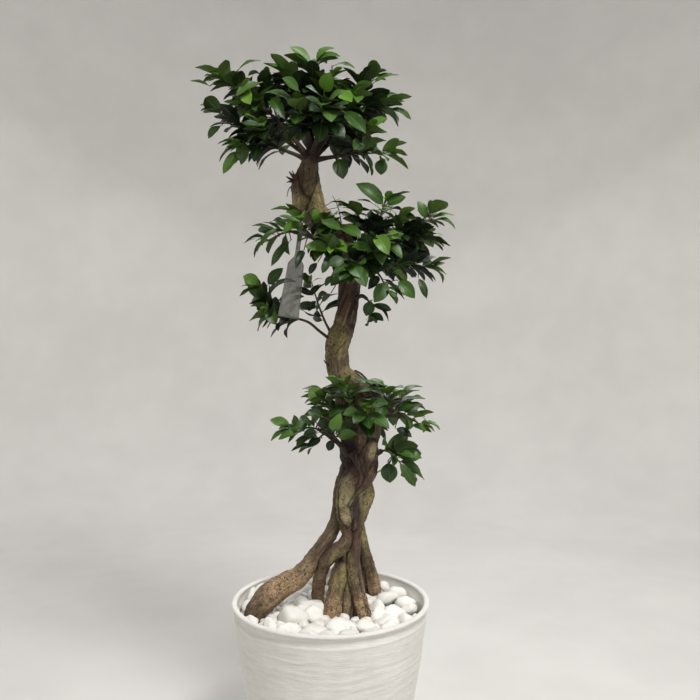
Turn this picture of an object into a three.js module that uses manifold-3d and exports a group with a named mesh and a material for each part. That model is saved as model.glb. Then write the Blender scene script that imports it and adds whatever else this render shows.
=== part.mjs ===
// A Chinese banyan (Ficus microcarpa) trained as a tall S-curve bonsai, in a round white planter.
//
// Several stems were planted together, so the tree stands on spreading legs, twists into one
// braided trunk, bends twice and carries three pads of leathery, obovate leaves.
// Units are millimetres. +Z is up, the origin is the centre of the planter's base, and the
// front, from which the long root sweeps to the left, is towards -Y.

import * as THREE from "three";
import { mergeVertices } from "three/addons/utils/BufferGeometryUtils.js";
import Module from "manifold-3d";

const wasm = await Module();
wasm.setup();

// Driving dimensions of the planter and its filling
const RIM_HEIGHT = 330;
const RIM_RADIUS = 185;
const BASE_RADIUS = 126;
const WALL = 9;
const FLOOR = 12;
const LIP_HEIGHT = 10;
const NECK_HEIGHT = 15;
const NECK_DEPTH = 3;
const POT_SEGMENTS = 32;
const SOIL_TOP = 282;
const MULCH_BED_TOP = 301;
const ROOT_BOTTOM = 256;

// Clearances between pieces that touch
const TOUCH_GAP = 0.3;
const ROOT_GAP = 0.5;

// Driving dimensions of the leaves and twigs
const LEAF_LENGTH = 55;
const LEAF_WIDTH_SHARE = 0.54;
const LEAF_THICKNESS = 0.8;
const LEAFY_LENGTH = 84;
const LEAF_SPACING = 8.2;
const BARE_LENGTH_LEAST = 8;
const TWIG_RADIUS_AT_LIMB = 2.7;
const TWIG_RADIUS_AT_LEAVES = 2.1;
const TWIG_RADIUS_AT_TIP = 1.3;
const LEAF_CLEARANCE = 1.2;
const GOLDEN_ANGLE = 137.5;

const STRAND_SIDES = 8;
const LIMB_SIDES = 5;
const TWIG_SIDES = 3;

// The stems that make the trunk, from a root's foot upwards or from the trunk down to a foot.
// Each point is x, y, z and the stem's radius there.
const ROOTS = {
  long_left_root: [
    [67, 25, 630, 15], [42, 28, 593, 16], [27, 18, 558, 14], [19, 10, 516, 13], [16, 2, 478, 14],
    [2, -3, 444, 14], [-16, -8, 419, 15], [-37, -14, 395, 17], [-60, -20, 374, 20],
    [-88, -26, 358, 22], [-115, -32, 341, 22], [-134, -36, 321, 20], [-142, -38, 298, 18],
  ],
  front_lobe: [
    [76, 10, 632, 17], [66, -2, 592, 18], [41, -9, 552, 20], [27, -13, 515, 18], [27, -13, 480, 16],
    [33, -12, 450, 14], [28, -15, 428, 14], [10, -17, 410, 15], [-8, -14, 392, 14], [-19, 0, 363, 12],
    [-25, 18, 330, 12], [-27, 30, 298, 12],
  ],
  right_lobe: [
    [34, 10, 628, 18], [36, 18, 589, 19], [51, 24, 554, 19], [65, 18, 520, 18], [58, 18, 488, 14],
    [46, 24, 455, 13], [32, 40, 418, 12], [16, 72, 368, 12], [3, 108, 322, 12], [-1, 122, 292, 12],
  ],
  centre_leg: [[36, 0, 446, 13], [27, -4, 402, 14], [17, -11, 358, 17], [9, -16, 330, 18], [5, -20, 297, 19]],
  centre_inner_leg: [[38, 0, 420, 11], [30, -8, 375, 11], [30, -15, 345, 11], [32, -21, 320, 10], [34, -25, 296, 10]],
  front_leg: [
    [66, 2, 569, 8], [55, -10, 538, 8], [49, -14, 507, 9], [47, -16, 470, 9], [45, -15, 432, 11],
    [42, -15, 399, 13], [48, -20, 359, 13], [57, -26, 323, 13], [63, -30, 295, 13],
  ],
  right_leg: [
    [44, 22, 508, 13], [50, 26, 473, 12], [57, 32, 439, 11], [68, 44, 397, 11], [80, 62, 350, 12],
    [86, 76, 312, 12], [88, 82, 290, 11],
  ],
  right_inner_leg: [[47, 24, 450, 10], [56, 48, 399, 10], [62, 76, 352, 10], [68, 98, 306, 9], [70, 103, 290, 9]],
  rear_leg: [[48, 36, 463, 12], [48, 70, 409, 12], [44, 105, 359, 11], [40, 135, 314, 10], [39, 141, 295, 10]],
};
const TRUNK = {
  main_stem: [
    [34, 10, 624, 19], [30, 8, 662, 21], [28, 6, 700, 22], [21, 6, 735, 22], [13, 6, 765, 22],
    [12, 8, 791, 23], [17, 8, 818, 24], [25, 10, 848, 21], [31, 12, 879, 21], [36, 14, 913, 21],
    [38, 14, 947, 22], [27, 12, 981, 24], [6, 10, 1013, 27], [-19, 8, 1041, 30], [-38, 4, 1067, 32],
    [-46, 2, 1093, 29], [-46, 0, 1117, 24], [-41, 0, 1138, 19], [-38, 0, 1163, 15],
  ],
  elbow: [[25, 6, 750, 17], [47, 2, 737, 16], [68, 4, 719, 17], [78, 8, 695, 18], [78, 10, 662, 19], [76, 10, 628, 18]],
  heartwood: [[51, 8, 715, 16], [55, 4, 682, 19], [57, 4, 644, 19], [55, 6, 606, 17], [49, 8, 572, 16]],
};

// Limbs that carry the leaf pads: x, y, z and radius from the trunk outwards.
const LIMBS = {
  top_left_low: [[-45, 0, 1153, 7], [-65, -5, 1161, 5.5], [-92, -15, 1169, 4.5]],
  top_left_high: [[-45, 0, 1160, 8], [-67, -8, 1188, 6], [-103, -20, 1225, 4.5]],
  top_crown: [[-39, 0, 1160, 9], [-41, -5, 1198, 7], [-37, -5, 1238, 5]],
  top_right_high: [[-34, 0, 1160, 8], [-5, -5, 1198, 6], [22, -14, 1232, 4.5]],
  top_right_low: [[-30, 0, 1153, 7], [2, -8, 1156, 5.5], [34, -10, 1160, 4]],
  top_front: [[-37, -5, 1159, 8], [-26, -45, 1173, 6], [-17, -72, 1185, 4.5]],
  top_back: [[-38, 8, 1162, 8], [-38, 50, 1209, 6], [-44, 82, 1249, 4.5]],
  top_back_left: [[-43, 5, 1161, 7], [-91, 50, 1205, 5]],
  top_back_right: [[-30, 5, 1161, 7], [7, 45, 1207, 5]],
  mid_left: [[32, 5, 969, 8], [10, -20, 977, 6.5], [-15, -42, 991, 5.5], [-42, -58, 1003, 4.5], [-66, -63, 1007, 3.5]],
  mid_left_high: [[13, 0, 1002, 6], [7, -30, 1018, 4.5]],
  mid_right_high: [[40, 10, 950, 9], [74, 0, 974, 7], [107, -10, 991, 6], [128, -10, 1003, 4.5]],
  mid_crown: [[70, 2, 972, 6], [79, -12, 1000, 4.5]],
  mid_right: [[42, 10, 924, 7], [77, 0, 942, 6], [112, -10, 953, 4.5]],
  mid_front: [[36, -8, 948, 7], [47, -50, 954, 5]],
  mid_back: [[40, 20, 963, 7], [48, 60, 996, 5]],
  mid_back_right: [[42, 20, 948, 7], [95, 60, 982, 5]],
  mid_side: [[8, 5, 806, 5], [-22, -5, 831, 4.5], [-42, -12, 847, 4], [-72, -15, 856, 3.5]],
  mid_side_high: [[10, 5, 808, 5], [-8, 10, 842, 4]],
  mid_drop: [[40, 8, 890, 4], [59, 2, 897, 3.5], [68, 0, 891, 3]],
  low_left: [[32, 0, 600, 5], [5, -25, 632, 4.5], [-19, -35, 648, 4]],
  low_left_high: [[30, -2, 650, 6], [8, -15, 680, 4.5]],
  low_crown: [[49, -6, 674, 6], [42, -28, 690, 4.5]],
  low_right_high: [[77, 4, 670, 7], [101, -8, 683, 5.5], [122, -10, 679, 4.5]],
  low_right: [[74, 6, 594, 6], [96, 0, 605, 4.5]],
  low_front: [[55, -8, 644, 6], [58, -45, 666, 5]],
  low_back: [[55, 25, 651, 7], [46, 60, 673, 5]],
  low_back_right: [[74, 22, 652, 6], [105, 58, 667, 5]],
};

// The middle of each leaf pad, which its leaves face away from
const PAD_CENTRES = { top: [-45, 10, 1130], mid: [50, 10, 900], low: [45, 10, 600] };

// Leafy sprays: the limb that each grows on, how far along it (0 to 1) and where its tip is.
const SPRAYS = {
  top_01: ["top_crown", 1, [-33, -5, 1333]],
  top_02: ["top_crown", 0.7, [-78, -30, 1302]],
  top_03: ["top_crown", 0.8, [4, -66, 1283]],
  top_04: ["top_left_high", 1, [-195, -35, 1290]],
  top_05: ["top_left_high", 0.9, [-143, -82, 1244]],
  top_06: ["top_left_high", 0.75, [-116, -5, 1303]],
  top_07: ["top_left_low", 1, [-207, -30, 1233]],
  top_08: ["top_left_low", 0.9, [-160, -50, 1163]],
  top_09: ["top_left_low", 0.7, [-115, -92, 1185]],
  top_10: ["top_right_high", 1, [73, -20, 1300]],
  top_11: ["top_right_high", 0.95, [101, -15, 1247]],
  top_12: ["top_right_high", 0.7, [40, -84, 1243]],
  top_13: ["top_right_low", 1, [104, 0, 1166]],
  top_14: ["top_right_low", 0.5, [14, -40, 1120]],
  top_15: ["top_right_low", 0.9, [66, -60, 1194]],
  top_16: ["top_front", 1, [-5, -142, 1206]],
  top_17: ["top_front", 0.65, [-60, -124, 1208]],
  top_18: ["top_back", 1, [-69, 150, 1339]],
  top_19: ["top_back", 0.6, [-22, 125, 1326]],
  top_20: ["top_back_left", 1, [-176, 100, 1284]],
  top_21: ["top_back_right", 1, [85, 100, 1293]],
  mid_01: ["mid_crown", 1, [101, -24, 1072]],
  mid_02: ["mid_crown", 0.6, [47, -20, 1049]],
  mid_03: ["mid_right_high", 1, [183, -15, 1050]],
  mid_04: ["mid_right_high", 0.7, [123, -62, 1030]],
  mid_05: ["mid_right_high", 0.85, [182, -25, 998]],
  mid_06: ["mid_left_high", 1, [-25, -66, 1040]],
  mid_07: ["mid_left", 0.4, [6, -92, 978]],
  mid_08: ["mid_left", 1, [-112, -66, 990]],
  mid_09: ["mid_front", 1, [95, -112, 980]],
  mid_10: ["mid_front", 0.7, [42, -112, 936]],
  mid_11: ["mid_right", 1, [187, -12, 948]],
  mid_12: ["mid_right", 0.5, [102, -38, 904]],
  mid_13: ["mid_back", 1, [61, 118, 1061]],
  mid_14: ["mid_back", 0.7, [-4, 95, 1033]],
  mid_15: ["mid_back_right", 1, [178, 100, 1030]],
  mid_16: ["mid_side", 1, [-129, -20, 912]],
  mid_17: ["mid_side", 0.8, [-110, -34, 863]],
  mid_18: ["mid_side_high", 1, [-37, 22, 923]],
  mid_19: ["mid_drop", 1, [74, 0, 865]],
  mid_20: ["mid_left", 0.66, [-50, -108, 1018]],
  low_01: ["low_left", 0.5, [11, -70, 655]],
  low_02: ["low_left", 1, [-70, -45, 653]],
  low_03: ["low_left", 0.8, [-32, -32, 618]],
  low_04: ["low_left_high", 1, [-21, -27, 716]],
  low_05: ["low_crown", 1, [27, -60, 728]],
  low_06: ["low_right_high", 0.6, [93, -34, 722]],
  low_07: ["low_right_high", 1, [168, -15, 655]],
  low_08: ["low_right_high", 0.85, [131, -15, 706]],
  low_09: ["low_right", 1, [138, -15, 573]],
  low_10: ["low_front", 1, [66, -104, 692]],
  low_11: ["low_back", 1, [26, 105, 702]],
  low_12: ["low_back", 0.7, [-14, 88, 671]],
  low_13: ["low_back_right", 1, [141, 98, 678]],
};

// Large stones that show at the front: x and y of the centre and the three half-sizes.
const FRONT_STONES = [
  [18, -88, 30, 22, 16], [-63, -62, 24, 20, 16], [-30, -42, 15, 14, 13], [-107, -74, 19, 17, 13],
  [-72, -108, 22, 17, 13], [-24, -110, 20, 18, 14], [62, -84, 20, 18, 14], [88, 4, 15, 20, 15],
  [116, -22, 22, 22, 15], [142, 24, 19, 22, 15], [104, -66, 24, 20, 13], [-150, 16, 17, 22, 13],
  [34, -130, 22, 17, 12],
];
const STONE_COUNT = 40;
const STONE_FIELD_RADIUS = 150;
const STONE_SEED = 11;
const STONE_SINK = 4;
const LEAF_SEED = 40;

// The blank plastic tag that hangs on the middle pad's left limb: the centre of its loop, the
// loop's size and the strip's sizes from the strap down to the body
const TAG = {
  centre: [-54, -61.6, 1003], loopRadius: 6.5, strapWidth: 8, strapLength: 54, bodyTopWidth: 20,
  bodyBottomWidth: 39, bodyLength: 98, thickness: 0.8, lean: THREE.MathUtils.degToRad(6),
  turn: THREE.MathUtils.degToRad(12),
};

// Random numbers from 0 to 1 that are the same on every run (mulberry32)
function seededRandom(seed) {
  let state = seed >>> 0;
  return () => {
    state = (state + 0x6d2b79f5) >>> 0;
    let t = state;
    t = Math.imul(t ^ (t >>> 15), t | 1);
    t ^= t + Math.imul(t ^ (t >>> 7), t | 61);
    return ((t ^ (t >>> 14)) >>> 0) / 4294967296;
  };
}

// A closed BufferGeometry as a solid that can be joined and cut
function solidOf(geometry) {
  const bare = geometry.clone();
  for (const name of Object.keys(bare.attributes)) if (name !== "position") bare.deleteAttribute(name);
  const merged = mergeVertices(bare, 1e-4);
  return new wasm.Manifold(
    new wasm.Mesh({
      numProp: 3,
      vertProperties: merged.attributes.position.array,
      triVerts: new Uint32Array(merged.index.array),
    }),
  );
}

// The outermost closed surface, without the small hollows that joined stems can leave between them
function largestBody(solid) {
  return solid.decompose().reduce((a, b) => (a.volume() > b.volume() ? a : b));
}

function geometryOf(solid) {
  const mesh = solid.getMesh();
  const positions = new Float32Array(mesh.numVert * 3);
  for (let i = 0; i < mesh.numVert; i++) {
    positions.set(mesh.vertProperties.subarray(i * mesh.numProp, i * mesh.numProp + 3), i * 3);
  }
  const geometry = new THREE.BufferGeometry();
  geometry.setAttribute("position", new THREE.BufferAttribute(positions, 3));
  geometry.setIndex(new THREE.BufferAttribute(mesh.triVerts, 1));
  return geometry;
}

// A closed geometry from rings of equal size, with its first and last ring capped
function loft(rings) {
  const sides = rings[0].length;
  const positions = rings.flat().flatMap((p) => [p.x, p.y, p.z]);
  const faces = [];
  for (let r = 0; r + 1 < rings.length; r++) {
    for (let s = 0; s < sides; s++) {
      const a = r * sides + s;
      const b = r * sides + ((s + 1) % sides);
      faces.push(a, b, b + sides, a, b + sides, a + sides);
    }
  }
  const last = (rings.length - 1) * sides;
  for (let s = 1; s + 1 < sides; s++) {
    faces.push(0, s + 1, s);
    faces.push(last, last + s, last + s + 1);
  }
  const geometry = new THREE.BufferGeometry();
  geometry.setAttribute("position", new THREE.Float32BufferAttribute(positions, 3));
  geometry.setIndex(faces);
  return geometry;
}

// The rings of a round, tapering stem along a curve. Each stop is a share of the curve's length,
// a radius and, where the stem twists, an angle in degrees.
function ringsAlong(curve, stops, sides) {
  const first = curve.getTangentAt(stops[0][0]);
  let across = Math.abs(first.y) < 0.8 ? new THREE.Vector3(0, 1, 0) : new THREE.Vector3(1, 0, 0);
  return stops.map(([share, radius, twist = 0]) => {
    const centre = curve.getPointAt(share);
    const tangent = curve.getTangentAt(share);
    across = across.clone().addScaledVector(tangent, -across.dot(tangent)).normalize();
    const up = new THREE.Vector3().crossVectors(tangent, across);
    return Array.from({ length: sides }, (_, s) => {
      const angle = (2 * Math.PI * (s + 0.5)) / sides + THREE.MathUtils.degToRad(twist);
      return centre
        .clone()
        .addScaledVector(across, radius * Math.cos(angle))
        .addScaledVector(up, radius * Math.sin(angle));
    });
  });
}

// The smooth curve through a stem's points, and its stops at those points
function pathOf(points, extraRadius = 0) {
  const curve = new THREE.CatmullRomCurve3(points.map(([x, y, z]) => new THREE.Vector3(x, y, z)));
  const lengths = curve.getLengths(points.length - 1);
  const last = lengths[lengths.length - 1];
  return { curve, stops: points.map(([, , , radius], i) => [lengths[i] / last, radius + extraRadius]) };
}

function stem(points, sides, extraRadius = 0) {
  const { curve, stops } = pathOf(points, extraRadius);
  return loft(ringsAlong(curve, stops, sides));
}

// A root's path, carried straight down into the soil from its last point
function intoSoil(points) {
  const [x, y, z, radius] = points[points.length - 1];
  return [...points, [x, y, z - 12, radius * 0.93], [x, y, ROOT_BOTTOM, radius * 0.8]];
}

// Straight pieces of a stem, each with its two ends and its larger radius
function segmentsOf(curve, stops) {
  return stops.slice(1).map(([share, radius], i) => {
    const [shareBefore, radiusBefore] = stops[i];
    return { from: curve.getPointAt(shareBefore), to: curve.getPointAt(share), radius: Math.max(radius, radiusBefore) };
  });
}

function distanceToSegment(point, { from, to }) {
  const along = to.clone().sub(from);
  const share = THREE.MathUtils.clamp(point.clone().sub(from).dot(along) / along.lengthSq(), 0, 1);
  return point.distanceTo(from.clone().addScaledVector(along, share));
}

// The twig of one spray: it leaves its limb along the limb's own direction, then turns to its tip.
// The bare stretch belongs to the tree, and the leafy stretch to the spray.
function twigOf([limbName, share, tip]) {
  const limb = pathOf(LIMBS[limbName]);
  const limbSegments = segmentsOf(limb.curve, limb.stops);
  const start = limb.curve.getPointAt(share);
  const end = new THREE.Vector3(...tip);
  const bend = start.clone().addScaledVector(limb.curve.getTangentAt(share), start.distanceTo(end) * 0.3);
  const curve = new THREE.QuadraticBezierCurve3(start, bend, end);
  const length = curve.getLength();
  const clearOfLimb = (at) => {
    const room = TWIG_RADIUS_AT_LEAVES + LEAF_CLEARANCE;
    return limbSegments.every((s) => distanceToSegment(curve.getPointAt(at), s) > s.radius + room);
  };
  let bareTo = Math.max(BARE_LENGTH_LEAST, length - LEAFY_LENGTH) / length;
  while (bareTo < 0.7 && !clearOfLimb(bareTo)) bareTo += 0.02;
  const leafyFrom = bareTo + TOUCH_GAP / length;
  return {
    curve,
    leafyFrom,
    leafCount: Math.max(3, Math.round(((1 - leafyFrom) * length) / LEAF_SPACING)),
    bare: [[0, TWIG_RADIUS_AT_LIMB], [bareTo, TWIG_RADIUS_AT_LEAVES]],
    leafy: [[leafyFrom, TWIG_RADIUS_AT_LEAVES], [(1 + leafyFrom) / 2, 1.8], [1, TWIG_RADIUS_AT_TIP]],
  };
}

const twigs = Object.fromEntries(Object.entries(SPRAYS).map(([name, spray]) => [name, twigOf(spray)]));

const woodSegments = [
  ...[ROOTS, TRUNK, LIMBS].flatMap((set) => Object.values(set)).flatMap((points) => {
    const { curve, stops } = pathOf(points);
    return segmentsOf(curve, stops);
  }),
  ...Object.values(twigs).flatMap((twig) => segmentsOf(twig.curve, twig.bare)),
];
const leafySegments = Object.fromEntries(
  Object.entries(twigs).map(([name, twig]) => [name, segmentsOf(twig.curve, twig.leafy)]),
);

// True where a point is close to the hanging tag
function nearTag(point) {
  const [x, y, z] = TAG.centre;
  const drop = z - point.z;
  if (drop < -12 || drop > TAG.strapLength + TAG.bodyLength + 5 || Math.abs(point.y - y) > 12) return false;
  const halfWidth = (drop < TAG.strapLength ? TAG.strapWidth : TAG.bodyBottomWidth) / 2 + 4;
  return Math.abs(point.x - x + drop * Math.sin(TAG.lean)) < halfWidth;
}

// A leaf has room where each of its points is nearer to its own twig than to any other twig,
// and clear of the wood and the tag.
function hasRoom(points, owner) {
  return points.every((point) => {
    const own = Math.min(...leafySegments[owner].map((segment) => distanceToSegment(point, segment)));
    return (
      !nearTag(point) &&
      woodSegments.every((s) => distanceToSegment(point, s) > s.radius + LEAF_CLEARANCE) &&
      Object.entries(leafySegments).every(
        ([name, segments]) =>
          name === owner || segments.every((s) => distanceToSegment(point, s) > own + LEAF_CLEARANCE),
      )
    );
  });
}

// Outline of the blade: share of the length, and share of the half width
const BLADE_STATIONS = [[0.36, 0.84], [0.7, 0.93]];
const ROOM_STATIONS = [[0.16, 0.37], [0.36, 0.84], [0.53, 0.89], [0.7, 0.93], [0.86, 0.44], [1, 0]];

// A point of a blade that arches along its length
function bladePoint(leaf, share, side, lift) {
  const { base, along, across, normal, length, width, arch } = leaf;
  const rise = length * (0.13 * Math.sin(Math.PI * share) - arch * share * share);
  return base
    .clone()
    .addScaledVector(along, length * share * (1 - 0.25 * arch * share))
    .addScaledVector(across, (width / 2) * side)
    .addScaledVector(normal, rise + lift);
}

// The triangles of a blade that grows out of a four-cornered side of its twig, its foot.
// The foot's corners are matched to the blade's first section so that the stalk twists least,
// and the upper and lower faces are split alike.
function bladeTriangles(leaf, foot) {
  const corners = [[-1, -1], [1, -1], [1, 1], [-1, 1]];
  const matchOf = (turn) =>
    corners.reduce((sum, [side, lift], i) => {
      const direction = leaf.across.clone().multiplyScalar(side).addScaledVector(leaf.normal, lift / 2);
      return sum + foot[(i + turn) % 4].clone().sub(leaf.base).dot(direction);
    }, 0);
  const turn = [0, 1, 2, 3].reduce((best, k) => (matchOf(k) > matchOf(best) ? k : best));
  const loops = [
    corners.map((_, i) => foot[(i + turn) % 4]),
    ...BLADE_STATIONS.map(([share, half]) =>
      corners.map(([side, lift]) => bladePoint(leaf, share, half * side, (lift * LEAF_THICKNESS) / 2)),
    ),
  ];
  const tip = bladePoint(leaf, 1, 0, 0);
  const triangles = [];
  for (let i = 0; i < 4; i++) {
    const j = (i + 1) % 4;
    for (let k = 0; k + 1 < loops.length; k++) {
      const [near, far] = [loops[k], loops[k + 1]];
      if (i === 0) triangles.push([near[i], near[j], far[i]], [near[j], far[j], far[i]]);
      else triangles.push([near[i], near[j], far[j]], [near[i], far[j], far[i]]);
    }
    triangles.push([loops[2][i], loops[2][j], tip]);
  }
  return triangles;
}

function geometryFromTriangles(triangles) {
  const geometry = new THREE.BufferGeometry();
  const positions = triangles.flat().flatMap((p) => [p.x, p.y, p.z]);
  geometry.setAttribute("position", new THREE.Float32BufferAttribute(positions, 3));
  return mergeVertices(geometry, 1e-5);
}

const UP = new THREE.Vector3(0, 0, 1);
// Changes that are tried in turn where a leaf has no room: turn about the twig, tilt and length
const TRIES = [
  [0, 0, 1], [15, -8, 1], [-15, -8, 1], [0, -18, 0.95], [28, 0, 0.9], [-28, 0, 0.9],
  [15, -26, 0.85], [-15, 12, 0.85], [35, -10, 0.8], [-35, -10, 0.8], [0, -32, 0.75],
];

// One leaf on a side of its twig, in the first of the tried positions that has room
function leafOn(name, foot, forward, place, random) {
  const base = foot.reduce((sum, p) => sum.add(p), new THREE.Vector3()).multiplyScalar(0.25);
  const outward = new THREE.Vector3()
    .crossVectors(foot[1].clone().sub(foot[0]), foot[3].clone().sub(foot[0]))
    .normalize();
  const pad = new THREE.Vector3(...PAD_CENTRES[name.split("_")[0]]);
  const tilt = THREE.MathUtils.degToRad(72 - 40 * place + (random() - 0.5) * 16);
  const length = LEAF_LENGTH * (0.88 + 0.26 * random() - 0.14 * place);
  const roll = (random() - 0.5) * 0.6;
  const arch = 0.1 + 0.16 * random();
  for (const [turnMore, tiltMore, sizeShare] of TRIES) {
    const slope = tilt + THREE.MathUtils.degToRad(tiltMore);
    const along = outward
      .clone()
      .applyAxisAngle(forward, THREE.MathUtils.degToRad(turnMore))
      .multiplyScalar(Math.sin(slope))
      .addScaledVector(forward, Math.cos(slope))
      .addScaledVector(UP, 0.12)
      .normalize();
    const light = base.clone().sub(pad).normalize().addScaledVector(UP, 0.6).addScaledVector(forward, 0.3);
    const normal = light.addScaledVector(along, -light.dot(along)).normalize().applyAxisAngle(along, roll);
    const across = new THREE.Vector3().crossVectors(normal, along);
    const width = length * sizeShare * LEAF_WIDTH_SHARE;
    const leaf = { base, along, across, normal, length: length * sizeShare, width, arch };
    const outline = ROOM_STATIONS.flatMap(([share, half]) => [-half, 0, half].map((s) => bladePoint(leaf, share, s, 0)));
    if (hasRoom(outline, name)) return leaf;
  }
  return null;
}

// One leafy spray as one closed body: a slim three-sided twig that twists a little from ring to
// ring, so that a leaf on the next side of every segment climbs it in a golden-angle spiral
function sprayGeometry(name, index) {
  const { curve, leafyFrom, leafCount: count } = twigs[name];
  const random = seededRandom(LEAF_SEED + index * 101);
  const phase = random() * 360;
  const stops = Array.from({ length: count + 1 }, (_, i) => {
    const place = Math.pow(i / count, 0.85);
    const radius = TWIG_RADIUS_AT_LEAVES + (TWIG_RADIUS_AT_TIP - TWIG_RADIUS_AT_LEAVES) * place;
    return [leafyFrom + (1 - leafyFrom) * place, radius, phase + i * (GOLDEN_ANGLE - 120)];
  });
  const rings = ringsAlong(curve, stops, 3);
  const triangles = [[rings[0][0], rings[0][2], rings[0][1]], rings[count]];
  const blades = [];
  for (let i = 0; i < count; i++) {
    for (let side = 0; side < 3; side++) {
      const next = (side + 1) % 3;
      const foot = [rings[i][side], rings[i][next], rings[i + 1][next], rings[i + 1][side]];
      const plain = [[foot[0], foot[1], foot[2]], [foot[0], foot[2], foot[3]]];
      const leaf = side === i % 3 ? leafOn(name, foot, curve.getTangentAt(stops[i][0]), i / count, random) : null;
      const blade = leaf ? bladeTriangles(leaf, foot) : plain;
      if (leaf) {
        const cap = [[foot[0], foot[2], foot[1]], [foot[0], foot[3], foot[2]]];
        const body = solidOf(geometryFromTriangles([...blade, ...cap]));
        if (blades.some((other) => body.intersect(other).volume() > 1e-3)) {
          triangles.push(...plain);
          continue;
        }
        blades.push(body);
      }
      triangles.push(...blade);
    }
  }
  leafTotal += blades.length;
  return geometryFromTriangles(triangles);
}

// The planter's body from base to neck: radius and height
const BODY = [[BASE_RADIUS, 4], [150, 112], [167.5, 212], [180, RIM_HEIGHT - LIP_HEIGHT - NECK_HEIGHT]];

// The body's outline, moved inwards, between two heights
function bodyOutline(inset, bottom, top) {
  const radiusAt = (z) => {
    const above = Math.max(1, BODY.findIndex(([, height]) => height >= z));
    const [[r0, z0], [r1, z1]] = [BODY[above - 1], BODY[above]];
    return r0 + ((r1 - r0) * (z - z0)) / (z1 - z0);
  };
  const heights = [bottom, ...BODY.map(([, z]) => z).filter((z) => z > bottom + 2 && z < top - 2), top];
  return heights.map((z) => new THREE.Vector2(radiusAt(z) - inset, z));
}

// A tapering wall under a recessed neck and a rounded lip
function potGeometry() {
  const bodyTop = BODY[BODY.length - 1][1];
  const lipBottom = RIM_HEIGHT - LIP_HEIGHT;
  const neckRadius = BODY[BODY.length - 1][0] - NECK_DEPTH;
  const profile = [
    new THREE.Vector2(0, 0),
    new THREE.Vector2(BASE_RADIUS - 4, 0),
    ...bodyOutline(0, 4, bodyTop),
    new THREE.Vector2(neckRadius, bodyTop + 2),
    new THREE.Vector2(neckRadius, lipBottom - 1),
    new THREE.Vector2(RIM_RADIUS, lipBottom + 1),
    new THREE.Vector2(RIM_RADIUS, RIM_HEIGHT - 3),
    new THREE.Vector2(RIM_RADIUS - 3, RIM_HEIGHT),
    new THREE.Vector2(RIM_RADIUS - 11, RIM_HEIGHT),
    ...bodyOutline(WALL, FLOOR, bodyTop).reverse(),
    new THREE.Vector2(0, FLOOR),
  ];
  return new THREE.LatheGeometry(profile, POT_SEGMENTS).rotateX(Math.PI / 2);
}

// Everything that fits inside the planter's wall with a small gap, from one height to another
function potFilling(bottom, top) {
  const profile = [
    new THREE.Vector2(0, bottom),
    ...bodyOutline(WALL + TOUCH_GAP + 0.1, bottom, top),
    new THREE.Vector2(0, top),
  ];
  return new THREE.LatheGeometry(profile, POT_SEGMENTS).rotateX(Math.PI / 2);
}

// Where the stones of the mulch lie: the large front ones by hand, and the rest on a spiral
// that covers the soil evenly, left out where a root or a front stone is. Each is x, y, its
// half-sizes, its height above the bed and its turn.
function stonePlaces() {
  const random = seededRandom(STONE_SEED);
  const feet = Object.values(ROOTS).map((points) => points[points.length - 1]);
  const placed = FRONT_STONES.map((stone) => [...stone, 1, random() * Math.PI]);
  for (let i = 0; i < STONE_COUNT; i++) {
    const radius = STONE_FIELD_RADIUS * Math.sqrt((i + 0.5) / STONE_COUNT);
    const angle = THREE.MathUtils.degToRad(i * GOLDEN_ANGLE);
    const [x, y] = [radius * Math.cos(angle), radius * Math.sin(angle)];
    const [a, b, c] = [18 + 5 * random(), 15 + 4 * random(), 11 + 3 * random()];
    const lift = 0.3 + 0.7 * random();
    const turn = random() * Math.PI;
    const clearOfRoots = feet.every(([fx, fy, , r]) => Math.hypot(x - fx, y - fy) > r + 9);
    const clearOfStones = FRONT_STONES.every(([sx, sy, sa, sb]) => Math.hypot(x - sx, y - sy) > (sa + sb) / 2 + 12);
    if (clearOfRoots && clearOfStones) placed.push([x, y, a, b, c, lift, turn]);
  }
  return placed;
}

function stoneGeometry([x, y, a, b, c, lift, turn]) {
  const z = MULCH_BED_TOP - STONE_SINK + 0.8 * c * lift;
  return new THREE.IcosahedronGeometry(1.1, 0).scale(a, b, c).rotateZ(turn).translate(x, y, z);
}

// The tag: a narrow strap that widens into the body, closed round its limb by a loop
function tagSolid() {
  const { centre, loopRadius, strapWidth, strapLength, bodyTopWidth, bodyBottomWidth, bodyLength, thickness } = TAG;
  const halfWidths = [
    [strapWidth / 2, loopRadius],
    [strapWidth / 2, strapLength - 14],
    [bodyTopWidth / 2, strapLength],
    [bodyBottomWidth / 2, strapLength + bodyLength],
  ];
  const outline = new THREE.Shape([
    ...halfWidths.map(([half, drop]) => new THREE.Vector2(-half, -drop)),
    ...halfWidths.reverse().map(([half, drop]) => new THREE.Vector2(half, -drop)),
  ]);
  const strip = new THREE.ExtrudeGeometry(outline, { depth: thickness, bevelEnabled: false })
    .translate(0, 0, -thickness / 2)
    .rotateX(Math.PI / 2);
  const band = new THREE.Shape().absarc(0, 0, loopRadius + thickness, 0, 2 * Math.PI);
  band.holes.push(new THREE.Path().absarc(0, 0, loopRadius, 0, 2 * Math.PI, true));
  const loop = new THREE.ExtrudeGeometry(band, { depth: strapWidth, bevelEnabled: false, curveSegments: 10 })
    .translate(0, 0, -strapWidth / 2)
    .rotateY(Math.PI / 2);
  const joined = geometryOf(solidOf(strip).add(solidOf(loop)));
  return solidOf(joined.rotateY(TAG.lean).rotateZ(TAG.turn).translate(...centre));
}

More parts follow.
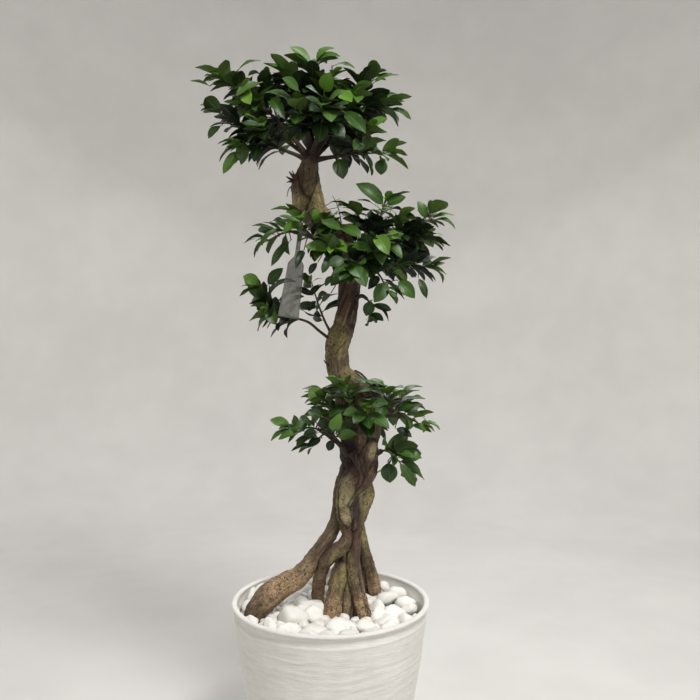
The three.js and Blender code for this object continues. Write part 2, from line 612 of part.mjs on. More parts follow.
// Materials: colours as they look in a plain white light
const bark = new THREE.MeshStandardMaterial({ color: 0x7d6c50, roughness: 0.85, metalness: 0 });
const foliage = new THREE.MeshStandardMaterial({ color: 0x2c5a1c, roughness: 0.42, metalness: 0 });
const glaze = new THREE.MeshStandardMaterial({ color: 0xe6e3de, roughness: 0.5, metalness: 0 });
const soilMix = new THREE.MeshStandardMaterial({ color: 0x3a2d22, roughness: 0.95, metalness: 0 });
const marble = new THREE.MeshStandardMaterial({ color: 0xf0efea, roughness: 0.6, metalness: 0 });
const film = new THREE.MeshStandardMaterial({ color: 0xd9d8d4, roughness: 0.45, metalness: 0 });

const bonsai = new THREE.Group();
let leafTotal = 0;

function addNode(name, geometry, material) {
  const mesh = new THREE.Mesh(geometry, material);
  mesh.name = name;
  bonsai.add(mesh);
}

// The tree without its leaves grew as one piece: roots, trunk, limbs and the bare twigs
const rootPaths = Object.values(ROOTS).map(intoSoil);
const wood = wasm.Manifold.union([
  ...rootPaths.map((points) => solidOf(stem(points, STRAND_SIDES))),
  ...Object.values(TRUNK).map((points) => solidOf(stem(points, STRAND_SIDES))),
  ...Object.values(LIMBS).map((points) => solidOf(stem(points, LIMB_SIDES))),
  ...Object.values(twigs).map((twig) => solidOf(loft(ringsAlong(twig.curve, twig.bare, TWIG_SIDES)))),
]);

// What the roots need left free in the soil and the stones
const rootRoom = wasm.Manifold.union(rootPaths.map((points) => solidOf(stem(points, STRAND_SIDES, ROOT_GAP))));

const soil = solidOf(potFilling(FLOOR + TOUCH_GAP, SOIL_TOP)).subtract(rootRoom);

const mulchBed = solidOf(potFilling(SOIL_TOP + TOUCH_GAP, MULCH_BED_TOP));
const stones = stonePlaces().map((place) => solidOf(stoneGeometry(place)));
const mulch = wasm.Manifold.union([mulchBed, ...stones])
  .intersect(solidOf(potFilling(SOIL_TOP + TOUCH_GAP, RIM_HEIGHT)))
  .subtract(rootRoom);

addNode("planter", potGeometry(), glaze);
addNode("soil", geometryOf(soil), soilMix);
addNode("pebble_mulch", geometryOf(mulch), marble);
addNode("tree", geometryOf(largestBody(wood)), bark);
addNode("hang_tag", geometryOf(tagSolid()), film);

Object.keys(SPRAYS).forEach((name, index) => addNode("spray_" + name, sprayGeometry(name, index), foliage));
console.log(leafTotal + " leaves");

export default bonsai;
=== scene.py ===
# %% [markdown]
# # A Chinese banyan bonsai in a white planter
# The tree is a Ficus microcarpa. Several young stems were planted together and braided, so they
# stand on spread roots, fuse into one trunk that bends twice, and carry three pads of leathery
# leaves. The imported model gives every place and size, and this script gives it its looks.

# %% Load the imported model
import math

import bmesh
import bpy
import numpy as np
from mathutils import Matrix, Vector, noise


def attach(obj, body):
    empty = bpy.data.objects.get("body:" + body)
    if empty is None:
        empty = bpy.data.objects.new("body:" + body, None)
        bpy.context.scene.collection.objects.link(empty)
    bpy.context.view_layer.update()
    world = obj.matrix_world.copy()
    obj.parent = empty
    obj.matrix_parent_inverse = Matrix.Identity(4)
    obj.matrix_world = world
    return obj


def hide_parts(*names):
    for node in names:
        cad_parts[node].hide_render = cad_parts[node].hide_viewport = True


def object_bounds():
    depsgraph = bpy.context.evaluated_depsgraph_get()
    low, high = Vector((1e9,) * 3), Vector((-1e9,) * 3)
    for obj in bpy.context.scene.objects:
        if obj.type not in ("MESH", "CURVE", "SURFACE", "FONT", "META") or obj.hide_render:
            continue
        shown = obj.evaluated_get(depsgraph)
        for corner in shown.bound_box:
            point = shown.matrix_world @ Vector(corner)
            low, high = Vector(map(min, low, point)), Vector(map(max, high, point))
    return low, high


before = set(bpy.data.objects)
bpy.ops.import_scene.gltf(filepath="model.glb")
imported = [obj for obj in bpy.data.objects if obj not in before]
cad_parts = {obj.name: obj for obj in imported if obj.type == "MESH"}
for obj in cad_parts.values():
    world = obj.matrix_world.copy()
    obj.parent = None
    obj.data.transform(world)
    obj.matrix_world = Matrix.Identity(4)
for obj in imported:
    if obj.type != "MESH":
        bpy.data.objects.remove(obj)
cad_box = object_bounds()

print("packed nodes:", len(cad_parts), "box:", [round(x, 3) for corner in cad_box for x in corner])

# %% [markdown]
# ## Camera, light and floor
# The photograph was taken a little above the leaves' middle height, looking level. A round floor
# that sweeps up into a wall all round gives an even, pale ground from every side. The light is a
# large soft lamp above the right front, with weaker ones to open up the shadows.

# %% Camera
# Where the camera stood and its lens, as solved from the ellipse of the planter's rim
CAMERA_PLACE, SENSOR_WIDTH, LENS = (0.036, -1.340, 0.795), 36, 36.6
PHOTO_SIZE, PHOTO_MIDDLE = 700, 350
camera_data = bpy.data.cameras.new("photo_camera")
camera_data.sensor_width = SENSOR_WIDTH
camera_data.lens = LENS
camera = bpy.data.objects.new("photo_camera", camera_data)
camera.location = CAMERA_PLACE
camera.rotation_euler = (math.pi / 2, 0, 0)
bpy.context.scene.collection.objects.link(camera)
bpy.context.scene.camera = camera
bpy.context.scene.view_settings.view_transform = "Standard"
FOCAL = camera_data.lens / camera_data.sensor_width * PHOTO_SIZE


def from_photo(u, v, y):
    """The point at the depth y that the camera sees at the pixel (u, v) of 700 by 700."""
    spread = (y - camera.location[1]) / FOCAL
    return np.array([camera.location[0] + (u - PHOTO_MIDDLE) * spread, y,
                     camera.location[2] - (v - PHOTO_MIDDLE) * spread])


def in_photo(points):
    """The pixels of 700 by 700 at which the camera sees these points."""
    spread = (points[:, 1] - camera.location[1]) / FOCAL
    return np.stack([PHOTO_MIDDLE + (points[:, 0] - camera.location[0]) / spread,
                     PHOTO_MIDDLE - (points[:, 2] - camera.location[2]) / spread], axis=1)


print("camera", tuple(camera.location), "lens", camera_data.lens)

# %% Soft studio lamps
# Place, size, power and colour of each lamp, and the height on the tree at which all of them aim
LAMPS = {
    "key_lamp": ((0.74, -1.25, 2.50), 0.65, 50, (1.0, 0.985, 0.965)),
    "front_lamp": ((0.5, -2.1, 1.5), 1.0, 4, (1.0, 0.99, 0.98)),
    "back_lamp": ((0.1, 1.7, 2.5), 1.6, 26, (0.985, 0.99, 1.0)),
}
AIM = Vector((0, 0, 0.75))
AIR_COLOUR, AIR_STRENGTH = (0.84, 0.84, 0.84, 1), 0.34


def soft_lamp(name, place, size, power, colour):
    """A square lamp that points at the middle of the tree and isn't seen itself."""
    data = bpy.data.lights.new(name, "AREA")
    data.size, data.energy, data.color = size, power, colour
    lamp = bpy.data.objects.new(name, data)
    lamp.location = place
    lamp.rotation_euler = (AIM - Vector(place)).to_track_quat("-Z", "Y").to_euler()
    lamp.visible_camera = False
    bpy.context.scene.collection.objects.link(lamp)


for name, values in LAMPS.items():
    soft_lamp(name, *values)
world = bpy.data.worlds.new("studio_air")
bpy.context.scene.world = world
world.use_nodes = True
air = world.node_tree.nodes["Background"].inputs
air["Color"].default_value, air["Strength"].default_value = AIR_COLOUR, AIR_STRENGTH
print("lamps:", list(LAMPS))


# %% [markdown]
# ## Helpers for meshes and materials
# Pieces are built as plain lists of points and faces, because then every size stays readable.
# Materials are made of nodes. The small helpers here only shorten the wiring.

# %% Mesh helpers
def make_object(name, points, faces, smooth=True, attributes=None):
    """A mesh object at the origin, with its place in its mesh."""
    mesh = bpy.data.meshes.new(name)
    mesh.from_pydata([tuple(p) for p in points], [], [tuple(f) for f in faces])
    for key, (kind, domain, values) in (attributes or {}).items():
        layer = mesh.attributes.new(key, kind, domain)
        layer.data.foreach_set("vector" if kind == "FLOAT_VECTOR" else "value", np.ravel(values))
    mesh.shade_smooth() if smooth else mesh.shade_flat()
    mesh.update()
    piece = bpy.data.objects.new(name, mesh)
    bpy.context.scene.collection.objects.link(piece)
    return piece


def triangles(piece):
    return sum(len(p.vertices) - 2 for p in piece.data.polygons)


def turned(profile, segments):
    """The points of a profile of radius and height, turned round the Z axis."""
    turns = np.linspace(0, 2 * math.pi, segments, endpoint=False)
    return [(r * math.cos(t), r * math.sin(t), z) for r, z in profile for t in turns]


def grid_faces(rows, columns, closed=True):
    """Quads between rows of points; a closed row joins its last point to its first."""
    faces = []
    for r in range(rows - 1):
        for c in range(columns if closed else columns - 1):
            d = (c + 1) % columns
            a, b = r * columns + c, r * columns + d
            faces.append((a, b, b + columns, a + columns))
    return faces


def baked(piece, name):
    """The piece with its modifiers worked out, as a new plain object; the old one is removed."""
    evaluated = piece.evaluated_get(bpy.context.evaluated_depsgraph_get())
    mesh = bpy.data.meshes.new_from_object(evaluated)
    bpy.data.objects.remove(piece)
    mesh.name = name
    made = bpy.data.objects.new(name, mesh)
    bpy.context.scene.collection.objects.link(made)
    return made


# %% Material helpers
class Nodes:
    """Adds nodes to a material or a node group and joins them."""

    def __init__(self, tree):
        self.tree = tree

    def add(self, kind, settings=None, **inputs):
        node = self.tree.nodes.new(kind)
        for key, value in (settings or {}).items():
            setattr(node, key, value)
        for key, value in inputs.items():
            self.put(node, key.replace("_", " "), value)
        return node

    def put(self, node, key, value):
        socket = node.inputs[int(key[1:])] if key[0] == "#" else node.inputs[key]
        if isinstance(value, bpy.types.NodeSocket):
            self.tree.links.new(value, socket)
        else:
            socket.default_value = value

    def math(self, operation, a, b=0.0):
        node = self.add("ShaderNodeMath", {"operation": operation})
        self.put(node, "#0", a)
        self.put(node, "#1", b)
        return node.outputs[0]

    def mix(self, share, a, b):
        node = self.add("ShaderNodeMix", {"data_type": "RGBA"})
        self.put(node, "#0", share)
        self.put(node, "#6", a)
        self.put(node, "#7", b)
        return node.outputs[2]

    def band(self, value, low, high, to_low=0.0, to_high=1.0):
        node = self.add("ShaderNodeMapRange", {"interpolation_type": "SMOOTHSTEP"})
        for key, number in zip(("#0", "#1", "#2", "#3", "#4"), (value, low, high, to_low, to_high)):
            self.put(node, key, number)
        return node.outputs[0]

    def tint(self, tone, mask, share, other):
        """The tone, with this share of another colour where the mask is 1."""
        return self.mix(self.math("MULTIPLY", mask, share), tone, other)

    def relief(self, shader, height, strength, distance):
        bump = self.add("ShaderNodeBump", Strength=strength, Distance=distance, Height=height)
        self.put(shader, "Normal", bump.outputs[0])

    def attribute(self, name, output="Fac"):
        return self.add("ShaderNodeAttribute", {"attribute_name": name}).outputs[output]

    def stretched(self, vector, scale):
        return self.add("ShaderNodeMapping", Vector=vector, Scale=scale).outputs[0]

    def group(self, group, **inputs):
        node = self.tree.nodes.new("ShaderNodeGroup")
        node.node_tree = group
        for key, value in inputs.items():
            self.put(node, key.replace("_", " "), value)
        return node.outputs


def colour(red, green, blue):
    """A colour given as it looks on a screen, 0 to 255, turned into the shader's linear values."""
    def linear(c):
        c /= 255
        return c / 12.92 if c <= 0.04045 else ((c + 0.055) / 1.055) ** 2.4
    return (linear(red), linear(green), linear(blue), 1.0)


def new_material(name):
    """An empty material with its shader, and the position on the piece as a vector."""
    material = bpy.data.materials.new(name)
    material.use_nodes = True
    nodes = Nodes(material.node_tree)
    shader = material.node_tree.nodes["Principled BSDF"]
    place = nodes.add("ShaderNodeTexCoord").outputs["Object"]
    return material, nodes, shader, place


def new_group(name, inputs, outputs):
    """A shader node group with named inputs (name: kind, value) and outputs (name: kind)."""
    group = bpy.data.node_groups.new(name, "ShaderNodeTree")
    for key, (kind, value) in inputs.items():
        socket = group.interface.new_socket(key, in_out="INPUT", socket_type="NodeSocket" + kind)
        if value is not None:
            socket.default_value = value
    for key, kind in outputs.items():
        group.interface.new_socket(key, in_out="OUTPUT", socket_type="NodeSocket" + kind)
    nodes = Nodes(group)
    return group, nodes, nodes.add("NodeGroupInput").outputs, nodes.add("NodeGroupOutput")


# %% [markdown]
# ## Two effects that many finishes share
# Nothing that grew or was cast has one flat colour. `Mottle` gives soft clouds on two scales, and
# `Specks` gives small dark dots, as the pores on bark, the dust on stone and the crumbs in soil.

# %% Clouds on two scales
FINER, BROAD_SHARE, FINE_SHARE = 4.3, 0.68, 0.32
mottle, g, given, out = new_group("Mottle", {
    "Vector": ("Vector", None), "Scale": ("Float", 20.0), "Low": ("Float", 0.35), "High": ("Float", 0.65)},
    {"Value": "Float"})
broad = g.add("ShaderNodeTexNoise", Vector=given["Vector"], Scale=given["Scale"], Detail=3.0, Roughness=0.6)
fine = g.add("ShaderNodeTexNoise", Vector=given["Vector"],
             Scale=g.math("MULTIPLY", given["Scale"], FINER), Detail=2.0)
both = g.math("ADD", g.math("MULTIPLY", broad.outputs[0], BROAD_SHARE),
              g.math("MULTIPLY", fine.outputs[0], FINE_SHARE))
g.put(out, "Value", g.band(both, given["Low"], given["High"]))


def mottled(nodes, vector, scale, low, high):
    return nodes.group(mottle, Vector=vector, Scale=scale, Low=low, High=high)["Value"]


print("made:", mottle.name)

# %% Small dots
specks, g, given, out = new_group("Specks", {
    "Vector": ("Vector", None), "Scale": ("Float", 300.0), "Size": ("Float", 0.25), "Amount": ("Float", 0.5)},
    {"Value": "Float"})
cells = g.add("ShaderNodeTexVoronoi", Vector=given["Vector"], Scale=given["Scale"])
dot = g.band(cells.outputs["Distance"], g.math("MULTIPLY", given["Size"], 0.5), given["Size"], 1.0, 0.0)
choice = g.add("ShaderNodeSeparateColor", Color=cells.outputs["Color"]).outputs[0]
g.put(out, "Value", g.math("MULTIPLY", dot, g.math("LESS_THAN", choice, given["Amount"])))


def specked(nodes, vector, scale, size, amount):
    return nodes.group(specks, Vector=vector, Scale=scale, Size=size, Amount=amount)["Value"]


print("made:", specks.name)

# %% [markdown]
# ## The floor
# A flat disc that curves up at its edge, so that no corner shows behind the tree. It is stage, not
# part of the object, and it is turned from a profile because it has to look the same all round.

# %% Floor with a raised edge
FLOOR_RADIUS, SWEEP_RADIUS, WALL_TOP, FLOOR_SEGMENTS = 1.9, 0.9, 3.6, 96
profile = [(0.001, 0.0), (0.6, 0.0), (1.2, 0.0), (FLOOR_RADIUS, 0.0)]
profile += [(FLOOR_RADIUS + SWEEP_RADIUS * math.sin(a), SWEEP_RADIUS * (1 - math.cos(a)))
            for a in np.linspace(0.12, math.pi / 2, 12)]
profile.append((FLOOR_RADIUS + SWEEP_RADIUS, WALL_TOP))
inward = [face[::-1] for face in grid_faces(len(profile), FLOOR_SEGMENTS)]
floor = make_object("studio_floor", turned(profile, FLOOR_SEGMENTS), inward)
backing, n, shader, place = new_material("pale_floor")
clouds = mottled(n, place, 1.7, 0.3, 0.7)
n.put(shader, "Base Color", n.mix(clouds, colour(215, 213, 210), colour(224, 222, 219)))
shader.inputs["Roughness"].default_value = 0.9
floor.data.materials.append(backing)
print("floor reaches", FLOOR_RADIUS + SWEEP_RADIUS, "m")

# %% [markdown]
# ## The planter
# A white glazed pot with a smooth rounded lip and a slightly recessed neck. Below the neck the
# clay was combed sideways by hand, which leaves low, wavy, nearly level ridges. The form is turned
# from a profile, as on a wheel, and a Geometry Nodes tree presses the combing into the wall,
# so that the ridges are real relief and not only a painted bump.

# %% Turn the planter from its profile
RIM_HEIGHT, RIM_RADIUS, BASE_RADIUS = 0.330, 0.185, 0.126
WALL, BASE_THICKNESS, LIP, NECK, NECK_DEPTH = 0.009, 0.012, 0.010, 0.015, 0.0018
BODY = [(BASE_RADIUS, 0.004), (0.150, 0.112), (0.1675, 0.212), (0.180, RIM_HEIGHT - LIP - NECK)]
POT_SEGMENTS, RING_STEP = 224, 0.0027
LIP_HALF_WIDTH, LIP_RISE = 0.0055, 0.0036
# The combing begins above the base and fades out over these heights at the wall's foot and top
COMBED_FROM, FADE_LOW, FADE_HIGH = 0.004, 0.02, 0.006
AXIS_GAP = 0.0005


def body_radius(z):
    return float(np.interp(z, [b[1] for b in BODY], [b[0] for b in BODY]))


def planter_profile():
    """Radius, height and how much of the combing each point of the outline gets."""
    body_top = BODY[-1][1]
    outline = [(AXIS_GAP, 0.0, 0), (BASE_RADIUS - 0.006, 0.0, 0), (BASE_RADIUS - 0.002, 0.001, 0)]
    for z in np.arange(0.005, body_top, RING_STEP):
        fade = min(1.0, (z - COMBED_FROM) / FADE_LOW, (body_top - z) / FADE_HIGH)
        outline.append((body_radius(z), z, max(0.0, fade)))
    neck = BODY[-1][0] - NECK_DEPTH
    lip_bottom = RIM_HEIGHT - 2 * LIP_RISE
    outline += [(neck + 0.0012, body_top + 0.0012, 0), (neck, body_top + 0.004, 0),
                (neck, lip_bottom - 0.004, 0), (neck + 0.0006, lip_bottom - 0.0012, 0),
                (neck + 0.003, lip_bottom, 0)]
    for a in np.linspace(-0.9, 3.9, 15):
        outline.append((RIM_RADIUS + LIP_HALF_WIDTH * (math.cos(a) - 1),
                        RIM_HEIGHT + LIP_RISE * (math.sin(a) - 1), 0))
    for z in np.linspace(RIM_HEIGHT - 0.016, BASE_THICKNESS, 14):
        outline.append((body_radius(min(z, body_top)) - WALL, z, 0))
    outline.append((AXIS_GAP, BASE_THICKNESS, 0))
    return outline


outline = planter_profile()
points = turned([(r, z) for r, z, _ in outline], POT_SEGMENTS)
faces = grid_faces(len(outline), POT_SEGMENTS)
last = (len(outline) - 1) * POT_SEGMENTS
faces += [tuple(range(POT_SEGMENTS))[::-1], tuple(range(last, last + POT_SEGMENTS))]
combed = np.repeat([c for _, _, c in outline], POT_SEGMENTS)
turned_pot = make_object("turned_pot", points, faces, attributes={"combed": ("FLOAT", "POINT", combed)})
print("planter outline:", len(outline), "points")


# %% A helper that builds Geometry Nodes trees and sets their inputs
def geometry_tree(name, inputs):
    """A Geometry Nodes tree with named inputs (name: kind, value), and the way to wire it."""
    tree = bpy.data.node_groups.new(name, "GeometryNodeTree")
    tree.interface.new_socket("Geometry", in_out="INPUT", socket_type="NodeSocketGeometry")
    for key, (kind, value) in inputs.items():
        socket = tree.interface.new_socket(key, in_out="INPUT", socket_type="NodeSocket" + kind)
        if value is not None:
            socket.default_value = value
    tree.interface.new_socket("Geometry", in_out="OUTPUT", socket_type="NodeSocketGeometry")
    nodes = Nodes(tree)
    return tree, nodes, nodes.add("NodeGroupInput").outputs, nodes.add("NodeGroupOutput")


def end_tree(nodes, out, geometry, material):
    """The end of every tree: plain meshes with their material, because the export drops instances."""
    whole = nodes.add("GeometryNodeRealizeInstances", Geometry=geometry).outputs[0]
    finished = nodes.add("GeometryNodeSetMaterial", Geometry=whole, Material=material)
    nodes.put(out, "Geometry", finished.outputs[0])


def grow(piece, tree, name, **values):
    """Runs a tree on a piece with these inputs and returns the plain result."""
    modifier = piece.modifiers.new(tree.name, "NODES")
    modifier.node_group = tree
    for key, value in values.items():
        wanted = key.replace("_", " ")
        socket = next(s for s in tree.interface.items_tree if s.name == wanted and s.in_out == "INPUT")
        modifier[socket.identifier] = value
    return baked(piece, name)


# %% Comb the wall
combing, t, given, out = geometry_tree("Combed wall", {
    "Comb Depth": ("Float", 0.0014), "Line Height": ("Float", 0.0062), "Wave": ("Float", 0.028),
    "Seed": ("Float", 3.0), "Material": ("Material", None)})
position = t.add("GeometryNodeInputPosition").outputs[0]
drift = t.add("ShaderNodeTexNoise", {"noise_dimensions": "4D"}, Vector=position, W=given["Seed"],
              Scale=9.0, Detail=2.0)
parts = t.add("ShaderNodeSeparateXYZ", Vector=position).outputs
level = t.math("ADD", parts[2], t.math("MULTIPLY", drift.outputs[0], given["Wave"]))
across_scale = 5.0
line_place = t.add("ShaderNodeCombineXYZ", X=t.math("MULTIPLY", parts[0], across_scale),
                   Y=t.math("MULTIPLY", parts[1], across_scale),
                   Z=t.math("DIVIDE", level, given["Line Height"])).outputs[0]
lines = t.add("ShaderNodeTexNoise", {"noise_dimensions": "4D"}, Vector=line_place, W=given["Seed"],
              Scale=1.0, Detail=4.0, Roughness=0.72)
wall = t.add("GeometryNodeInputNamedAttribute", {"data_type": "FLOAT"}, Name="combed").outputs[0]
below_skin = t.math("SUBTRACT", lines.outputs[0], 0.62)
height = t.math("MULTIPLY", t.math("MULTIPLY", below_skin, given["Comb Depth"]), wall)
normal = t.add("GeometryNodeInputNormal").outputs[0]
push = t.add("ShaderNodeVectorMath", {"operation": "SCALE"}, Vector=normal,
             Scale=t.math("MULTIPLY", height, 4.0))
moved = t.add("GeometryNodeSetPosition", Geometry=given["Geometry"], Offset=push.outputs[0]).outputs[0]
end_tree(t, out, moved, given["Material"])
print("combing tree:", len(combing.nodes), "nodes")

# %% [markdown]
# The finish is a satin white glaze. It is a little warmer, darker and duller along stretched sideways
# streaks, and the brush leaves a fine sideways grain.

# %% White glaze
white_glaze, n, shader, place = new_material("white_glaze")
strokes = mottled(n, n.stretched(place, (1, 1, 13)), 18.0, 0.36, 0.68)
clouds = mottled(n, place, 9.0, 0.25, 0.75)
dust = specked(n, place, 210.0, 0.16, 0.12)
tone = n.mix(clouds, colour(232, 230, 225), colour(244, 243, 239))
tone = n.tint(tone, strokes, 0.32, colour(207, 200, 190))
n.put(shader, "Base Color", n.tint(tone, dust, 0.25, colour(176, 166, 150)))
n.put(shader, "Roughness", n.band(strokes, 0.0, 1.0, 0.38, 0.55))
grain = n.add("ShaderNodeTexNoise", Vector=n.stretched(place, (1, 1, 6)), Scale=80.0, Detail=6.0,
              Roughness=0.78)
n.relief(shader, grain.outputs[0], 1.0, 0.0019)
planter_body = grow(turned_pot, combing, "planter_body", Material=white_glaze)
print("planter:", triangles(planter_body), "triangles")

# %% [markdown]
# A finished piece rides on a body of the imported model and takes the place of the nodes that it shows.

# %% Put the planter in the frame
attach(planter_body, "root")
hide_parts("planter")
print("in the frame:", planter_body.name)

# %% [markdown]
# ## The soil
# Only small gaps between the stones show it. The packed soil already has the right form, with its
# holes for the roots, so it keeps its mesh and only gets the finish of a dark, crumbly mix.

# %% Soil finish
soil_mix, n, shader, place = new_material("soil_mix")
crumbs = mottled(n, place, 90.0, 0.35, 0.65)
grit = specked(n, place, 260.0, 0.3, 0.3)
tone = n.mix(crumbs, colour(38, 29, 22), colour(74, 59, 45))
n.put(shader, "Base Color", n.mix(grit, tone, colour(120, 108, 92)))
shader.inputs["Roughness"].default_value = 0.95
n.relief(shader, crumbs, 0.8, 0.002)
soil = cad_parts["soil"]
soil.data.materials.clear()
soil.data.materials.append(soil_mix)

# %% [markdown]
# ## The stems and roots
# Each stem is a tube that follows a smooth line through measured points. Where stems press against
# each other a real banyan grows them together. So the tubes are fused with a voxel remesh, which
# leaves one skin with soft creases, and then the bark relief is pressed into that skin.

# %% Lines of the roots and stems
def mm(millimetres):
    """A size in millimetres, as it was measured, in metres."""
    return round(millimetres / 1000, 7)


def metres(table):
    """A table of rows in millimetres, with or without headings, in metres."""
    if isinstance(table, dict):
        return {heading: metres(rows) for heading, rows in table.items()}
    return [tuple(mm(size) for size in row) for row in table]


# x, y, z and radius along each stem. A root is given from its top down to its foot
STEMS = metres({
    "long_left_root": [
        (67, 25, 630, 15), (42, 28, 593, 16), (27, 18, 558, 14), (17, 10, 516, 13), (13, 2, 478, 13),
        (-3, -3, 446, 12.4), (-21, -8, 421, 13.2), (-39, -14, 397, 16.5), (-60, -20, 374, 20),
        (-88, -26, 358, 22), (-115, -32, 341, 22), (-134, -36, 321, 20), (-142, -38, 298, 18)],
    "front_lobe": [
        (76, 10, 632, 17), (66, -2, 592, 18), (41, -9, 552, 20), (27, -13, 515, 18), (27, -13, 480, 16),
        (35, -12, 454, 14), (28, -17, 435, 13), (10, -20, 420, 13.5), (-9, -17, 402, 13.5),
        (-20, -4, 370, 12), (-25, 18, 330, 12), (-27, 30, 298, 12)],
    "right_lobe": [
        (34, 10, 628, 18), (36, 18, 589, 19), (51, 24, 554, 19), (65, 18, 520, 18), (58, 18, 488, 14),
        (46, 24, 455, 13), (32, 40, 418, 12), (16, 72, 368, 12), (3, 108, 322, 12), (-1, 122, 292, 12)],
    "centre_leg": [
        (36, 0, 446, 13), (27, -4, 402, 14), (17, -11, 358, 17), (9, -16, 330, 18), (5, -20, 297, 19)],
    "centre_inner_leg": [
        (38, 0, 420, 11), (30, -8, 375, 11), (30, -15, 345, 11), (32, -21, 320, 10), (34, -25, 296, 10)],
    "front_leg": [
        (66, 2, 569, 8), (55, -10, 538, 8), (49, -14, 507, 9), (47, -16, 470, 9), (45, -15, 432, 11),
        (42, -15, 399, 13), (48, -20, 359, 13), (57, -26, 323, 13), (63, -30, 295, 13)],
    "right_leg": [
        (44, 22, 508, 13), (50, 26, 473, 12), (57, 32, 439, 11), (68, 44, 397, 11), (80, 62, 350, 12),
        (86, 76, 312, 12), (88, 82, 290, 11)],
    "right_inner_leg": [
        (47, 24, 450, 10), (56, 48, 399, 10), (62, 76, 352, 10), (68, 98, 306, 9), (70, 103, 290, 9)],
    "rear_leg": [
        (48, 36, 463, 12), (48, 70, 409, 12), (44, 105, 359, 11), (40, 135, 314, 10), (39, 141, 295, 10)],
    "elbow": [
        (25, 6, 750, 17), (47, 2, 737, 16), (68, 4, 719, 17), (78, 8, 695, 18), (78, 10, 662, 19),
        (76, 10, 628, 18)],
    "lobe_burl": [
        (52, -2, 570, 12), (34, -14, 530, 19), (28, -21, 500, 18), (31, -22, 478, 15), (34, -20, 466, 9)],
    "crossing_strand": [
        (84, 6, 606, 8), (80, -2, 584, 9), (73, -13, 562, 10), (58, -25, 539, 8), (40, -33, 516, 6),
        (24, -31, 500, 4)],
    "wine_strand": [
        (40, -16, 606, 8), (51, -20, 580, 7), (56, -24, 556, 5), (49, -26, 530, 6), (44, -26, 500, 7),
        (43, -22, 466, 7)],
    "heartwood": [(51, 8, 715, 16), (55, 4, 682, 19), (57, 4, 644, 19), (55, 6, 606, 17), (49, 8, 572, 16)],
})
MAIN_STEM = metres([
    (34, 10, 624, 19), (30, 8, 662, 21), (28, 6, 700, 22), (21, 6, 735, 22), (13, 6, 765, 22),
    (12, 8, 791, 23), (17, 8, 818, 24), (25, 10, 848, 21), (31, 12, 879, 21), (36, 14, 913, 21),
    (38, 14, 947, 22), (27, 12, 981, 24), (6, 10, 1013, 27), (-19, 8, 1041, 30), (-38, 4, 1067, 32),
    (-46, 2, 1093, 29), (-46, 0, 1117, 24), (-41, 0, 1138, 19), (-38, 0, 1163, 15)])
ROOT_BOTTOM = 0.256
ROOTS = [name for name in STEMS if name.endswith(("root", "leg", "right_lobe", "front_lobe"))]


def into_soil(line):
    """A root goes on straight down, into the soil."""
    x, y, z, radius = line[-1]
    return line + [(x, y, z - 0.012, radius * 0.93), (x, y, ROOT_BOTTOM, radius * 0.8)]


# %% A smooth line through points, as closely spaced samples
def smooth_line(points, step=0.004):
    """Centripetal spline through points. Columns after the third, as the radius, follow along."""
    p = np.array(points, float)
    p = np.vstack([2 * p[0] - p[1], p, 2 * p[-1] - p[-2]])
    made = []
    for i in range(1, len(p) - 2):
        a, b, c, d = p[i - 1:i + 3]
        gaps = [max(1e-6, np.linalg.norm((v - u)[:3]) ** 0.5) for u, v in ((a, b), (b, c), (c, d))]
        start = ((b - a) / gaps[0] - (c - a) / (gaps[0] + gaps[1]) + (c - b) / gaps[1]) * gaps[1]
        end = ((c - b) / gaps[1] - (d - b) / (gaps[1] + gaps[2]) + (d - c) / gaps[2]) * gaps[1]
        count = max(2, int(round(np.linalg.norm((c - b)[:3]) / step)))
        s = np.linspace(0, 1, count, endpoint=False)[:, None]
        made.append((2 * s**3 - 3 * s**2 + 1) * b + (s**3 - 2 * s**2 + s) * start
                    + (3 * s**2 - 2 * s**3) * c + (s**3 - s**2) * end)
    return np.vstack(made + [p[-2:-1]])


def frames_along(line):
    """Unit vectors along a line and two across it that don't spin, and the length so far."""
    tangent = np.gradient(line[:, :3], axis=0)
    tangent /= np.linalg.norm(tangent, axis=1)[:, None]
    across = np.zeros_like(tangent)
    previous = np.array([0.0, 1.0, 0.0]) if abs(tangent[0, 1]) < 0.8 else np.array([1.0, 0.0, 0.0])
    for i, t in enumerate(tangent):
        previous = previous - t * (previous @ t)
        previous /= np.linalg.norm(previous)
        across[i] = previous
    lengths = np.concatenate([[0], np.cumsum(np.linalg.norm(np.diff(line[:, :3], axis=0), axis=1))])
    return tangent, across, np.cross(tangent, across), lengths


def tube(line, sides):
    """Points and faces of a closed round tube along a line with a radius in its fourth column."""
    tangent, across, up, _ = frames_along(line)
    angles = np.linspace(0, 2 * math.pi, sides, endpoint=False)
    rings = (line[:, None, :3] + line[:, None, 3:4] * (across[:, None] * np.cos(angles)[None, :, None]
                                                      + up[:, None] * np.sin(angles)[None, :, None]))
    faces = grid_faces(len(line), sides)
    end = (len(line) - 1) * sides
    return rings.reshape(-1, 3), faces + [tuple(range(sides))[::-1], tuple(range(end, end + sides))]


def joined(parts):
    """Several (points, faces) as one."""
    points, faces, base = [], [], 0
    for part_points, part_faces in parts:
        points.append(part_points)
        faces += [tuple(i + base for i in f) for f in part_faces]
        base += len(part_points)
    return np.vstack(points), faces


# %% [markdown]
# The trunk itself is three stems wound round each other. Near the top two of them part into
# shoulders, and the leader rises from the notch between them.

